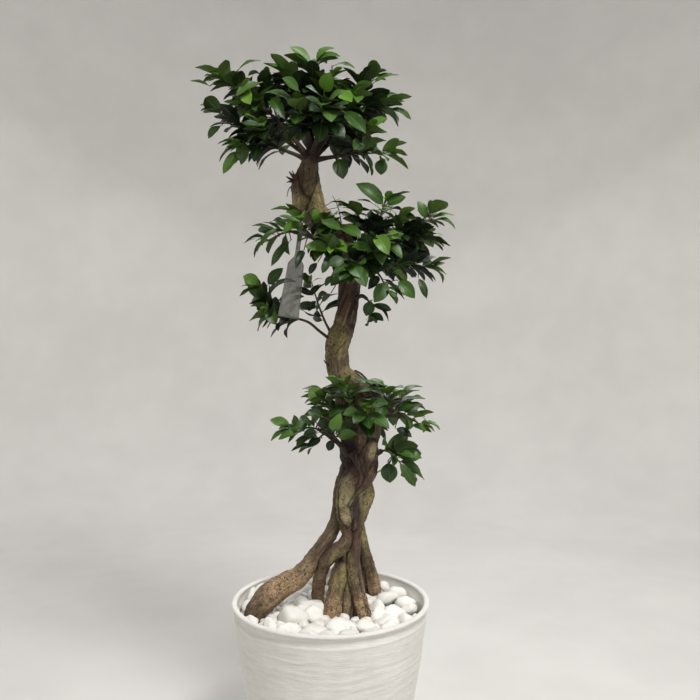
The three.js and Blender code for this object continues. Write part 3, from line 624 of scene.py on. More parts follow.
# %% Wind the three trunk stems round each other
# Where the groove between two of the stems lies at each point of the trunk, in degrees, and how
# far the stems stand off its middle, as a share of its radius
GROOVE = [86, 120, 154, 185, 212, 236, 260, 287, 315, 345, 375, 405, 436, 462, 488, 510, 510, 510, 510]
PARTING = [0.30, 0.32, 0.33, 0.34, 0.34, 0.34, 0.33, 0.33, 0.33, 0.34, 0.34, 0.35, 0.38, 0.42, 0.44,
           0.40, 0.28, 0.16, 0.1]
LEADER = metres([
    (-41, -22, 1072, 3), (-42, -18, 1086, 9), (-42, -10, 1106, 16.5), (-40, -3, 1134, 18.5),
    (-38, 0, 1168, 14)])
NOTCH, NOTCH_SIZE, NOTCH_DEPTH = (-0.0405, -0.028, 1.077), (0.008, 0.016, 0.007), 0.0045


def wound(line, groove, parting, stem):
    """One of the three stems: moved off the trunk's middle, and thinner by as much."""
    moved = []
    for (x, y, z, radius), angle, share in zip(line, groove, parting):
        a = math.radians(angle + 60 + 120 * stem)
        off = radius * share
        moved.append((x + off * math.cos(a), y + off * math.sin(a), z, radius * (1 - 0.92 * share)))
    return moved


for stem in range(3):
    STEMS[f"trunk_{stem + 1}"] = wound(MAIN_STEM, GROOVE, PARTING, stem)
STEMS["leader"] = LEADER
print("stems:", list(STEMS))

# %% Swell the stems a little and fuse them
VOXEL, STEM_STEP, STEM_SIDES = 0.0021, 0.004, 22
# How much a stem's radius swells, how far its line wanders, and how often per metre
LUMP_SHARE, LUMPS, WANDERING, WANDERS = 0.07, 28, 0.0016, 22
# The seed that makes the wandering the same on every run
SEED = 7


def lumpy(line, seed):
    """A grown stem is never evenly thick: its radius swells and narrows along it."""
    line = line.copy()
    for i, p in enumerate(line):
        spot = Vector(p[:3])
        line[i, 3] *= 1 + LUMP_SHARE * noise.noise(spot * LUMPS + Vector((seed, 0, 0)))
        line[i, :3] += WANDERING * np.array(noise.noise_vector(spot * WANDERS + Vector((0, seed, 0))))
    return line


noise.seed_set(SEED)
lines = {}
for index, (name, line) in enumerate(STEMS.items()):
    whole_line = into_soil(line) if name in ROOTS else line
    lines[name] = lumpy(smooth_line(whole_line, STEM_STEP), 7.3 * index)
points, faces = joined([tube(line, STEM_SIDES) for line in lines.values()])
raw_wood = make_object("raw_wood", points, faces)
fuse = raw_wood.modifiers.new("fuse", "REMESH")
fuse.mode, fuse.voxel_size, fuse.use_smooth_shade = "VOXEL", VOXEL, True
soften = raw_wood.modifiers.new("soften", "SMOOTH")
soften.factor, soften.iterations = 0.5, 4
trunk = baked(raw_wood, "trunk_and_roots")
print("fused wood:", triangles(trunk), "triangles")


# %% [markdown]
# The bark needs to know its stem: which one is nearest, how far along it the spot is, and how close it is to
# the crease against the next stem. From that come the fibres that run along each stem, the grooves of the
# creases with painted shade darkening them, and the narrow rings low on the roots.

# %% Measure each point of the skin against its stem
# The lobe's burl grew out of the lobe, so no crease parts the two
GROWN_TOGETHER = {"lobe_burl": "front_lobe"}
CREASE_WIDTH, AT_ONCE = 0.0022, 4000


def measure_bark(mesh, lines):
    """Per point: coordinates along and across its own stem, and how deep in a crease it lies."""
    points = np.zeros(len(mesh.vertices) * 3)
    mesh.vertices.foreach_get("co", points)
    points = points.reshape(-1, 3)
    names, samples = list(lines), np.vstack(list(lines.values()))
    starts = np.cumsum([0] + [len(line) for line in lines.values()])[:-1]
    frames = [frames_along(line) for line in lines.values()]
    tangent, across, up = (np.vstack([f[k] for f in frames]) for k in range(3))
    length = np.concatenate([f[3] + 0.7 * i for i, f in enumerate(frames)])
    grain, crease = np.zeros_like(points), np.zeros(len(points))
    for begin in range(0, len(points), AT_ONCE):
        some = points[begin:begin + AT_ONCE]
        away = np.linalg.norm(some[:, None] - samples[None, :, :3], axis=2) - samples[None, :, 3]
        nearest = away.argmin(axis=1)
        per_stem = np.minimum.reduceat(away, starts, axis=1)
        for guest, host in GROWN_TOGETHER.items():
            guest, host = names.index(guest), names.index(host)
            per_stem[:, host] = np.minimum(per_stem[:, host], per_stem[:, guest])
            per_stem[:, guest] = 1.0
        per_stem.sort(axis=1)
        offset = some - samples[nearest, :3]
        grain[begin:begin + AT_ONCE] = np.stack([
            (offset * across[nearest]).sum(1), (offset * up[nearest]).sum(1),
            length[nearest] + (offset * tangent[nearest]).sum(1)], axis=1)
        apart = np.maximum(0, per_stem[:, 1] - per_stem[:, 0])
        crease[begin:begin + AT_ONCE] = np.exp(-apart / CREASE_WIDTH)
    return points, grain, crease


skin, grain, crease = measure_bark(trunk.data, lines)
print("points of skin:", len(skin), "in a crease:", int((crease > 0.5).sum()))

# %% Colour patches of the bark
# The patch's middle, x, y and z, and its half width and half height
PATCHES = metres({
    "olive": [
        (30, -30, 522, 34, 32), (70, 0, 517, 26, 36), (12, -30, 412, 30, 14), (8, -14, 812, 24, 36),
        (34, -12, 752, 16, 12), (-18, -22, 1068, 24, 30), (-62, -20, 1062, 22, 22), (80, -6, 612, 12, 20),
        (20, -20, 375, 24, 30), (62, 28, 452, 18, 36), (10, 40, 780, 40, 70), (-30, 40, 1050, 40, 50)],
    "pale": [(80, -10, 605, 8, 16), (26, -36, 536, 16, 30), (30, -40, 484, 12, 14), (62, -12, 519, 8, 20)],
    "wine": [
        (46, -30, 552, 9, 18), (-64, -16, 1042, 14, 14), (-10, -8, 420, 22, 18), (86, 15, 345, 14, 30),
        (64, -24, 552, 18, 22), (46, -26, 500, 10, 34), (50, -26, 450, 14, 50), (60, -20, 592, 34, 32),
        (32, -8, 893, 26, 34), (-2, -28, 388, 24, 12), (-64, -10, 1118, 12, 26), (46, 30, 660, 34, 40),
        (-20, 16, 345, 22, 40)],
    # Plum is the dark purple bark of some stems, and partly painted shade: the patch below the crossing root
    # near the feet and the one at the top of the trunk under the top pad
    "plum": [
        (27, -8, 602, 24, 46), (46, -10, 893, 8, 30), (41, -8, 838, 7, 9), (49, -28, 505, 8, 28),
        (18, -12, 404, 14, 8), (-38, -6, 1168, 22, 20)],
    "tan": [
        (-80, -30, 360, 68, 44), (8, -30, 318, 30, 30), (60, -34, 320, 22, 30), (-10, 0, 320, 22, 22),
        (30, 100, 330, 60, 40), (84, 70, 330, 26, 40)],
})
# How far a patch reaches into the wood, where it ends and how soft its edge is, in shares of its
# half size, and how ragged that edge is
PATCH_DEPTH, PATCH_END, PATCH_EDGE, RAGGEDNESS = 0.034, 1.3, {"tan": 1.0}, 0.45
tones = {kind: np.zeros(len(skin)) for kind in ("olive", "wine", "tan", "plum", "pale")}
ragged = np.array([noise.noise(Vector(p) * 90) + 0.5 * noise.noise(Vector(p) * 260) for p in skin])
for kind, patches in PATCHES.items():
    for *middle, half_width, half_height in patches:
        reach = np.array([half_width, max(PATCH_DEPTH, half_width), half_height])
        far = np.linalg.norm((skin - np.array(middle)) / reach, axis=1) + RAGGEDNESS * ragged
        tones[kind] = np.maximum(tones[kind], np.clip((PATCH_END - far) / PATCH_EDGE.get(kind, 0.7), 0, 1))
print("share of the skin in each tone:", {kind: round(float(t.mean()), 3) for kind, t in tones.items()})

# %% Folds measured on the front of the bark
# Depth and half width in millimetres, and the line in the photograph's pixels
# Each fold is pressed in as a groove and is also painted darker along its line, as painted shade
FOLDS = [
    (2.4, 2.2, [(297, 172), (299, 181), (302, 190), (306, 197), (308.5, 200)]),
    (2.4, 2, [(318.5, 172), (317.5, 181), (315, 189), (311.5, 196), (309, 200)]),
    (1.4, 2.2, [(308.5, 200), (306.5, 206), (304.5, 213)]),
    (1.4, 1.4, [(334.3, 354.3), (341.4, 347), (346.4, 340.7)]),
    (1.2, 1.3, [(338.6, 317), (342.9, 304), (347, 295)]),
    (1.2, 1.3, [(348, 318), (352, 306), (356, 296)]),
    (3.2, 1.8, [(340, 478), (338.4, 487), (337.6, 494), (337.2, 503), (337.8, 511), (339.3, 518.6),
               (342.9, 525.7), (347, 529.5), (351.5, 527), (353.6, 521)]),
    (2.2, 1.6, [(352.5, 521), (351.5, 515), (350.5, 508), (355, 499), (361, 493), (367, 487.5)]),
    (2.6, 1.8, [(355.7, 451.4), (352.9, 463), (347.1, 471.4), (340.7, 477)]),
    (1.4, 1.2, [(358, 456), (357, 466), (354, 474)]),
    (1.4, 1.2, [(366, 448), (365, 460), (361, 470)]),
    (2.2, 1.4, [(362, 500), (362.5, 512), (361, 525), (359, 538)]),
    (1.6, 1.3, [(360, 560), (359, 575), (362, 592)]),
    (1.8, 1.3, [(351, 598), (352, 608), (350, 616)]),
    (1.6, 1.3, [(366, 585), (364, 600), (366, 612)]),
]
# Skin counts as the front where it lies within this depth of the foremost skin seen in its patch
# of so many pixels
FRONT_DEPTH, LOOK_SIZE = 0.012, 3


def to_line(spots, line):
    """Distance of each spot from a line of straight parts."""
    nearest = np.full(len(spots), 1e9)
    for a, b in zip(np.array(line[:-1], float), np.array(line[1:], float)):
        share = np.clip((spots - a) @ (b - a) / ((b - a) @ (b - a)), 0, 1)[:, None]
        nearest = np.minimum(nearest, np.linalg.norm(spots - a - share * (b - a), axis=1))
    return nearest


normals = np.zeros(len(trunk.data.vertices) * 3)
trunk.data.vertices.foreach_get("normal", normals)
normals = normals.reshape(-1, 3)
spots = in_photo(skin)
_, cell = np.unique(np.floor(spots / LOOK_SIZE).astype(int), axis=0, return_inverse=True)
foremost = np.full(cell.max() + 1, 9.0)
np.minimum.at(foremost, cell.ravel(), skin[:, 1])
in_front = (skin[:, 1] < foremost[cell.ravel()] + FRONT_DEPTH) * np.clip(-5 * normals[:, 1], 0, 1)
fold, fold_depth = np.zeros(len(skin)), np.zeros(len(skin))
for depth, half_width, line in FOLDS:
    beside = to_line(spots, line) * (skin[:, 1] - camera.location[1]) / FOCAL
    here = np.exp(-(beside / mm(half_width)) ** 2) * in_front
    fold, fold_depth = np.maximum(fold, here), np.maximum(fold_depth, mm(depth) * here)
print("points in measured folds:", int((fold > 0.5).sum()))

# %% Work out the bark's relief
# Depths in metres, and how often per metre fibres, ribs and rings change across and along a stem
FIBRE, RIB, LUMP, CREASE, RING = 0.0010, 0.0018, 0.0034, 0.0030, 0.0007
FIBRES, RIBS, RINGS = (330, 26), (130, 13), (30, 420)
# Heights of the smooth bend, from the shoulders up, and where the roots' rings begin to fade
BEND_FROM, BEND_TO, SHOULDERS, RINGS_BELOW, RINGS_FADE = 0.72, 0.86, 1.04, 0.46, 0.10
# How much of the painted shade in the creases is kept above the shoulders and in the bend
FAINT_CREASE_SHADE = 0.35


def along_stems(across, along):
    """Noise that is drawn out along each stem, at every point of the skin."""
    return np.array([noise.noise(Vector((p[0] * across, p[1] * across, p[2] * along))) for p in grain])


fibre, rib, ring = along_stems(*FIBRES), along_stems(*RIBS), along_stems(*RINGS)
lump = np.array([noise.noise(Vector(p) * 58) + 0.45 * noise.noise(Vector(p) * 150) for p in skin])
open_crease = np.clip(0.7 + 0.9 * np.array([noise.noise(Vector(p) * 45) for p in skin]), 0.15, 1.3)
low = np.clip((RINGS_BELOW - skin[:, 2]) / RINGS_FADE, 0, 1)
in_bend = (skin[:, 2] > BEND_FROM) & (skin[:, 2] < BEND_TO)
rough = 0.35 + 0.65 * (1 - tones["olive"])
relief = (FIBRE * fibre * rough + RIB * rib * (0.5 + 0.5 * rough) + LUMP * lump * 0.6 + RING * ring * low
          - CREASE * crease * open_crease * np.where(in_bend, 0.5, 1.0))
notch = np.exp(-(((skin - np.array(NOTCH)) / np.array(NOTCH_SIZE)) ** 2).sum(1))
relief -= NOTCH_DEPTH * notch + fold_depth
# Painted shade: the creases, the measured folds and the notch are marked to be painted darker, more faintly
# above the shoulders and in the bend
faint = (skin[:, 2] > SHOULDERS) | in_bend
crease = np.maximum(crease * np.where(faint, FAINT_CREASE_SHADE, 1.0), np.maximum(notch, fold))
print("relief from", round(float(relief.min()) * 1000, 2), "to", round(float(relief.max()) * 1000, 2), "mm")

# %% Press the relief into the skin
skin = skin + normals * relief[:, None]
trunk.data.vertices.foreach_set("co", skin.ravel())
for key, values in {"crease": crease, "low": low, "fibre": fibre, **tones}.items():
    trunk.data.attributes.new(key, "FLOAT", "POINT").data.foreach_set("value", values.astype(np.float32))
grain_layer = trunk.data.attributes.new("grain", "FLOAT_VECTOR", "POINT")
grain_layer.data.foreach_set("vector", grain.astype(np.float32).ravel())
trunk.data.shade_smooth()
trunk.data.update()
print("skin's attributes:", [key for key in trunk.data.attributes.keys() if not key.startswith(".")])

# %% [markdown]
# The bark is grey-brown, with smooth olive swellings full of dark pores, wine-brown fibrous stretches, and
# warm tan where the roots are weathered. The colours follow the patches, and the fine streaks follow the
# grain of each stem. The creases, folds and notch are painted darker as shade, and some dark plum patches are
# painted shade too.

# %% Bark finish
bark, n, shader, place = new_material("banyan_bark")
along = n.attribute("grain", "Vector")
streaks = mottled(n, n.stretched(along, (1, 1, 0.12)), 210.0, 0.3, 0.7)
clouds = mottled(n, place, 42.0, 0.3, 0.7)
flakes = mottled(n, n.stretched(along, (1, 1, 1.7)), 290.0, 0.38, 0.66)
torn = n.add("ShaderNodeTexNoise", Vector=place, Scale=130.0, Detail=2.0).outputs["Color"]
wander = n.add("ShaderNodeMix", {"data_type": "VECTOR"})
for key, value in (("#0", 0.012), ("#4", place), ("#5", torn)):
    n.put(wander, key, value)
wander = wander.outputs[1]
pores = specked(n, wander, 260.0, 0.42, 0.45)
wide_pores = specked(n, wander, 140.0, 0.34, 0.3)
cracks = mottled(n, n.stretched(along, (0.35, 0.35, 1)), 380.0, 0.52, 0.62)
threads = mottled(n, n.stretched(along, (1, 1, 0.05)), 330.0, 0.50, 0.66)
blots = mottled(n, place, 105.0, 0.5, 0.62)
tone = n.mix(clouds, colour(76, 61, 45), colour(126, 108, 82))
tone = n.mix(n.attribute("olive"), tone, n.mix(clouds, colour(108, 96, 56), colour(186, 172, 114)))
tone = n.mix(n.attribute("wine"), tone, n.mix(streaks, colour(46, 27, 21), colour(108, 74, 58)))
tone = n.mix(n.attribute("tan"), tone, n.mix(
    flakes, n.mix(clouds, colour(130, 102, 70), colour(190, 152, 110)), colour(222, 192, 150)))
# Plum patches: dark purple bark, and painted shade where a patch stands for shadow
tone = n.mix(n.attribute("plum"), tone, n.mix(streaks, colour(22, 10, 13), colour(62, 38, 38)))
tone = n.mix(n.attribute("pale"), tone, n.mix(streaks, colour(120, 106, 72), colour(206, 192, 148)))
tone = n.tint(tone, streaks, 0.5, colour(56, 42, 31))
threads = n.math("MULTIPLY", threads, n.band(n.attribute("plum"), 0.0, 0.8, 0.4, 0.0))
tone = n.mix(threads, tone, colour(166, 150, 118))
tone = n.tint(tone, blots, 0.5, colour(66, 52, 37))
tone = n.tint(tone, n.math("MULTIPLY", cracks, n.attribute("low")), 0.42, colour(58, 44, 32))
tone = n.mix(n.math("MULTIPLY", n.math("MAXIMUM", pores, wide_pores), 0.8), tone, colour(40, 30, 21))
# Painted shade: the bark darkens towards a near-black brown in the creases, folds and notch, unevenly along
# them
uneven = mottled(n, place, 75.0, 0.25, 0.6)
shade = n.math("MULTIPLY", n.band(n.attribute("crease"), 0.15, 1.0),
               n.math("MULTIPLY", n.math("ADD", uneven, 0.4), 0.75))
tone = n.mix(n.math("MINIMUM", shade, 0.8), tone, colour(28, 18, 14))
n.put(shader, "Base Color", tone)
n.put(shader, "Roughness", n.band(streaks, 0.0, 1.0, 0.62, 0.85))
height = n.math("ADD", n.math("MULTIPLY", streaks, 0.6), n.math("MULTIPLY", flakes, 0.4))
height = n.math("SUBTRACT", height, n.math("MULTIPLY", n.math("MAXIMUM", pores, wide_pores), 0.6))
n.relief(shader, height, 0.9, 0.0014)
trunk.data.materials.clear()
trunk.data.materials.append(bark)

# %% Put the trunk in the frame
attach(trunk, "root")
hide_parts("tree")
print("in the frame:", trunk.name)

# %% [markdown]
# ## Limbs and twigs
# Limbs leave the trunk at a swollen collar, and twigs leave the limbs in one smooth bend. They
# follow lines, so they are curves that a Geometry Nodes tree turns into tubes, with the small
# knots that old leaf scars leave.

# %% Lines of the limbs, and the twigs' tips
# x, y, z and radius of each limb, from the trunk outwards
LIMBS = metres({
    "top_left_low": [(-45, 0, 1153, 7), (-65, -5, 1161, 5.5), (-92, -15, 1169, 4.5)],
    "top_left_high": [(-45, 0, 1160, 8), (-67, -8, 1188, 6), (-103, -20, 1225, 4.5)],
    "top_crown": [(-39, 0, 1160, 9), (-41, -5, 1198, 7), (-37, -5, 1238, 5)],
    "top_right_high": [(-34, 0, 1160, 8), (-5, -5, 1198, 6), (22, -14, 1232, 4.5)],
    "top_right_low": [(-30, 0, 1153, 7), (2, -8, 1156, 5.5), (34, -10, 1160, 4)],
    "top_front": [(-37, -5, 1159, 8), (-26, -45, 1173, 6), (-17, -72, 1185, 4.5)],
    "top_back": [(-38, 8, 1162, 8), (-38, 50, 1209, 6), (-44, 82, 1249, 4.5)],
    "top_back_left": [(-43, 5, 1161, 7), (-91, 50, 1205, 5)],
    "top_back_right": [(-30, 5, 1161, 7), (7, 45, 1207, 5)],
    "mid_left": [
        (32, 5, 969, 8), (10, -20, 977, 6.5), (-15, -42, 991, 5.5), (-42, -58, 1003, 4.5),
        (-66, -63, 1007, 3.5)],
    "mid_left_high": [(13, 0, 1002, 6), (7, -30, 1018, 4.5)],
    "mid_right_high": [(40, 10, 950, 9), (74, 0, 974, 7), (107, -10, 991, 6), (128, -10, 1003, 4.5)],
    "mid_crown": [(70, 2, 972, 6), (79, -12, 1000, 4.5)],
    "mid_right": [(42, 10, 924, 7), (77, 0, 942, 6), (112, -10, 953, 4.5)],
    "mid_front": [(36, -8, 948, 7), (47, -50, 954, 5)],
    "mid_back": [(40, 20, 963, 7), (48, 60, 996, 5)],
    "mid_back_right": [(42, 20, 948, 7), (95, 60, 982, 5)],
    "mid_side": [(10, 5, 806, 5), (-22, -5, 831, 4.5), (-42, -12, 847, 4), (-72, -15, 856, 3.5)],
    "mid_side_high": [(10, 5, 808, 5), (-8, 10, 842, 4)],
    "mid_drop": [(40, 8, 890, 4), (59, 2, 897, 3.5), (68, 0, 891, 3)],
    "low_left": [(32, 0, 600, 5), (5, -25, 632, 4.5), (-19, -35, 648, 4)],
    "low_left_high": [(30, -2, 650, 6), (8, -15, 680, 4.5)],
    "low_crown": [(49, -6, 674, 6), (42, -28, 690, 4.5)],
    "low_right_high": [(77, 4, 670, 7), (101, -8, 683, 5.5), (122, -10, 679, 4.5)],
    "low_right": [(74, 6, 594, 6), (96, 0, 605, 4.5)],
    "low_front": [(55, -8, 644, 6), (58, -45, 666, 5)],
    "low_back": [(55, 25, 651, 7), (46, 60, 673, 5)],
    "low_back_right": [(74, 22, 652, 6), (105, 58, 667, 5)],
})
FRONT_TWIGS = {
    "top": [
        ("crown", 1, -33, -5, 1333), ("crown", 0.7, -78, -30, 1302), ("crown", 0.8, 4, -66, 1283),
        ("left_high", 1, -195, -35, 1290), ("left_high", 0.9, -143, -82, 1244),
        ("left_high", 0.75, -116, -5, 1303), ("left_low", 1, -207, -30, 1233),
        ("left_low", 0.9, -160, -50, 1163), ("left_low", 0.7, -115, -92, 1185),
        ("right_high", 1, 73, -20, 1300), ("right_high", 0.95, 101, -15, 1247),
        ("right_high", 0.7, 40, -84, 1243), ("right_low", 1, 104, 0, 1166), ("right_low", 0.5, 14, -40, 1120),
        ("right_low", 0.9, 66, -60, 1194), ("front", 1, -5, -142, 1206), ("front", 0.65, -60, -124, 1208),
        ("back", 1, -69, 150, 1339), ("back", 0.6, -22, 125, 1326), ("back_left", 1, -176, 100, 1284),
        ("back_right", 1, 85, 100, 1293)],
    "mid": [
        ("crown", 1, 101, -24, 1072), ("crown", 0.6, 47, -20, 1049), ("right_high", 1, 183, -15, 1050),
        ("right_high", 0.7, 123, -62, 1030), ("right_high", 0.85, 182, -25, 998),
        ("left_high", 1, -25, -66, 1040), ("left", 0.4, 6, -92, 978), ("left", 1, -112, -66, 990),
        ("front", 1, 95, -112, 980), ("front", 0.7, 42, -112, 936), ("right", 1, 187, -12, 948),
        ("right", 0.5, 102, -38, 904), ("back", 1, 61, 118, 1061), ("back", 0.7, -4, 95, 1033),
        ("back_right", 1, 178, 100, 1030), ("side", 1, -129, -20, 912), ("side", 0.8, -110, -34, 863),
        ("side_high", 1, -37, 22, 923), ("drop", 1, 74, 0, 865), ("left", 0.66, -50, -108, 1018)],
    "low": [
        ("left", 0.5, 11, -70, 655), ("left", 1, -70, -45, 653), ("left", 0.8, -32, -32, 618),
        ("left_high", 1, -21, -27, 716), ("crown", 1, 27, -60, 728), ("right_high", 0.6, 93, -34, 722),
        ("right_high", 1, 168, -15, 655), ("right_high", 0.85, 131, -15, 706), ("right", 1, 138, -15, 573),
        ("front", 1, 66, -104, 692), ("back", 1, 26, 105, 702), ("back", 0.7, -14, 88, 671),
        ("back_right", 1, 141, 98, 678)],
}
BACK_TWIGS = {
    "top": [
        ("back", 0.55, -95, 60, 1292), ("back", 0.45, 12, 62, 1296), ("back_left", 0.6, -128, 46, 1232),
        ("back_right", 0.7, 52, 62, 1232), ("back", 0.4, -52, 92, 1232), ("back_right", 0.5, 44, 30, 1184)],
    "mid": [
        ("back", 0.6, 112, 56, 1040), ("back_right", 0.5, 118, 62, 956), ("back", 0.5, 20, 70, 984),
        ("back_right", 0.8, 150, 48, 982)],
    "low": [("back_right", 0.5, 96, 52, 708), ("back", 0.5, 68, 74, 640), ("back", 0.4, -8, 52, 700)],
}


def named_twigs(table, earlier=None):
    """Twigs by name, numbered in each pad after those of an earlier table, with metres for the tips."""
    return {f"{pad}_{number:02}": (f"{pad}_{limb}", share, tuple(mm(x) for x in tip))
            for pad, rows in table.items()
            for number, (limb, share, *tip) in enumerate(rows, 1 + len((earlier or {}).get(pad, [])))}


SPRAYS = named_twigs(FRONT_TWIGS)
TWIG_AT_LIMB, TWIG_AT_TIP = 0.0024, 0.0011
COLLAR_SWELL, COLLAR_REACH = 0.7, 0.009
SLENDER = {"top": 0.68, "mid_side": 0.6}


def at_share(line, share):
    """The point and direction at a share of a line's length."""
    tangent, _, _, lengths = frames_along(line)
    want = share * lengths[-1]
    return (np.array([np.interp(want, lengths, line[:, k]) for k in range(3)]),
            np.array([np.interp(want, lengths, tangent[:, k]) for k in range(3)]))


def twig_line(limb, share, tip, count=26):
    """A twig leaves its limb along the limb's own direction and bends to its tip."""
    start, direction = at_share(limb, share)
    end = np.array(tip)
    bend = start + direction * np.linalg.norm(end - start) * 0.3
    s = np.linspace(0, 1, count)[:, None]
    path = (1 - s) ** 2 * start + 2 * s * (1 - s) * bend + s**2 * end
    return np.hstack([path, TWIG_AT_LIMB + (TWIG_AT_TIP - TWIG_AT_LIMB) * s])


FINE_STEP = 0.003
limb_lines = {name: smooth_line(line, FINE_STEP) for name, line in LIMBS.items()}
for name, line in limb_lines.items():
    lengths = frames_along(line)[3]
    slender = min([share for start, share in SLENDER.items() if name.startswith(start)], default=1.0)
    line[:, 3] *= slender * (1 + COLLAR_SWELL * np.exp(-lengths / COLLAR_REACH))
twig_lines = {name: twig_line(limb_lines[limb], share, tip)
              for name, (limb, share, tip) in (SPRAYS | named_twigs(BACK_TWIGS, FRONT_TWIGS)).items()}
print(len(limb_lines), "limbs and", len(twig_lines), "twigs")

# %% [markdown]
# Some leaves stand out in the photograph, at the pads' edges and in front. They are measured there
# one by one, and each stands on a thin side shoot of the nearest twig.

# %% Leaves measured in the photograph, and the side shoots that carry them
# Foot and tip in the photograph's pixels, how far the tip comes forward and the width in millimetres, how far
# the face turns to the front (0 up, 1 forward), and how young the leaf is, with painted shade below nought (0
# old, 1 young, below 0 painted darker as shade)
MEASURED = {
    "top": [
        (210, 86, 190, 81, 0, 17, 0.3, 0.05), (226, 79, 211, 71, 10, 18, 0.5, 0.2),
        (224, 112, 200, 110, 10, 18, 0.35, 0), (222, 125, 208, 138, 10, 18, 0.5, 0),
        (240, 149, 223, 174, 10, 19, 0.9, 0.1), (244, 140, 242, 164, 10, 24, 1, 0.15),
        (259, 143, 254, 162, 10, 20, 0.9, 0), (237, 71, 261, 60, 10, 19, 0.5, 0.1),
        (312, 65, 290, 47, 10, 24, 0.6, 0.1), (315, 66, 340, 55, 20, 21, 0.5, 0.05),
        (315, 63, 334, 47, 0, 18, 0.5, 0.35), (332, 66, 355, 68, 20, 20, 0.5, 0.2),
        (372, 84, 399, 74, 0, 20, 0.5, 0.3), (387, 109, 412, 118, 0, 18, 0.5, 0.2),
        (324, 93, 331, 72, 30, 26, 1, 0.95), (338, 92, 352, 102, 30, 22, 0.8, 0.9),
        (343, 111, 366, 133, 30, 24, 0.8, 0.05), (322, 122, 319, 142, 20, 28, 1, 0.15),
        (338, 157, 343, 179, 10, 29, 1, 0), (381, 158, 381, 175, 0, 24, 1, 0),
        (243, 92, 250, 103, 20, 22, 0.9, 0.7), (262, 82, 236, 96, 20, 20, 0.6, 0.15),
        (268, 98, 285, 118, 30, 22, 0.8, 0), (300, 92, 282, 78, 20, 22, 0.7, 0.15)],
    "mid": [
        (385, 207, 356, 183, 10, 28, 0.8, -0.25), (385, 205, 406, 197, 10, 24, 0.7, 0.2),
        (426, 219, 418, 201, 10, 20, 0.7, -0.15), (430, 219, 455, 215, 0, 14, 0.5, 0.4),
        (432, 220, 456, 228, 0, 12, 0.4, 0.2), (288, 230, 257, 247, 20, 14, 0.5, 0.2),
        (291, 240, 271, 266, 20, 15, 0.7, 0.1), (376, 235, 389, 254, 30, 26, 0.9, 0.45),
        (388, 282, 374, 302, 20, 27, 1, -0.3), (397, 280, 415, 298, 10, 24, 0.9, -0.2),
        (418, 277, 427, 298, 10, 14, 0.8, 0), (422, 266, 447, 274, 0, 15, 0.5, 0.2),
        (260, 284, 243, 276, 10, 22, 0.8, 0.85), (262, 288, 239, 296, 0, 13, 0.4, 0),
        (267, 307, 276, 325, 10, 22, 0.9, 0.3), (267, 286, 283, 268, 10, 22, 0.8, 0.2),
        (319, 223, 315, 209, 20, 18, 0.9, 0.9), (301, 222, 283, 232, 20, 20, 0.6, 0.3),
        (372, 300, 366, 316, 0, 22, 0.9, 0), (340, 226, 362, 238, 30, 24, 0.7, 0.3),
        (304, 250, 296, 268, 30, 14, 0.9, -0.3), (318, 262, 309, 274, 0, 13, 0.6, -0.7),
        (331, 258, 322, 273, 10, 14, 0.7, -0.6), (334, 275, 325, 286, 0, 12, 0.5, -0.8),
        (321, 285, 310, 295, 0, 14, 0.6, -0.7), (331, 293, 322, 302, 0, 11, 0.6, -0.8),
        (317, 300, 308, 311, 0, 13, 0.6, -0.7), (331, 250, 305, 246, 20, 21, 0.7, 0.2),
        (336, 252, 334, 235, 30, 21, 1, 0.1), (343, 230, 321, 222, 20, 20, 0.7, 0.1),
        (350, 244, 371, 251, 20, 21, 0.7, -0.2), (346, 259, 328, 265, 10, 20, 0.8, -0.4),
        (350, 262, 361, 278, 20, 24, 0.9, -0.4), (420, 265, 392, 272, 10, 14, 0.5, 0.3)],
    "low": [
        (323, 402, 309, 389, 10, 31, 0.9, 0.3), (394, 413, 423, 404, 10, 20, 0.5, 0.2),
        (304, 431, 278, 439, 10, 14, 0.5, 0), (309, 423, 291, 429, 10, 20, 0.8, 0.15),
        (332, 432, 340, 414, 30, 22, 1, 0.5), (337, 436, 357, 434, 30, 19, 0.8, 0.45),
        (388, 461, 390, 483, 10, 31, 1, -0.3), (398, 461, 416, 487, 0, 18, 0.8, -0.2),
        (398, 454, 422, 457, 10, 18, 0.5, 0.1), (410, 425, 432, 432, 0, 18, 0.5, 0.2),
        (350, 392, 336, 384, 10, 20, 0.6, 0.2), (384, 402, 379, 420, 30, 22, 0.8, 0.25),
        (311, 436, 296, 447, 10, 17, 0.5, -0.5), (322, 438, 307, 447, 10, 17, 0.6, -0.7),
        (333, 439, 328, 451, 0, 16, 0.8, -0.8), (323, 417, 307, 411, 10, 19, 0.7, -0.5),
        (318, 431, 303, 436, 20, 16, 0.6, -0.4), (395, 428, 412, 437, 10, 18, 0.6, -0.2)],
}
# How far behind the middle a twig may carry such a leaf, and how much a nearer twig is preferred
FRONT_HALF, NEARNESS = 0.03, 0.3
BEFORE_TWIG, SHOOT_RISE, SHORTEST_SHOOT = 0.006, 0.15, 0.004


def nearest_twig(pad, u, v):
    """The point of the pad's front twigs that looks nearest to a pixel, sooner one in front."""
    samples = np.vstack([line[6:, :3] for name, line in twig_lines.items() if name.startswith(pad)])
    samples = samples[samples[:, 1] < FRONT_HALF]
    seen = np.array([from_photo(u, v, y) for y in samples[:, 1]])
    return samples[(np.linalg.norm(seen - samples, axis=1) + NEARNESS * samples[:, 1]).argmin()]


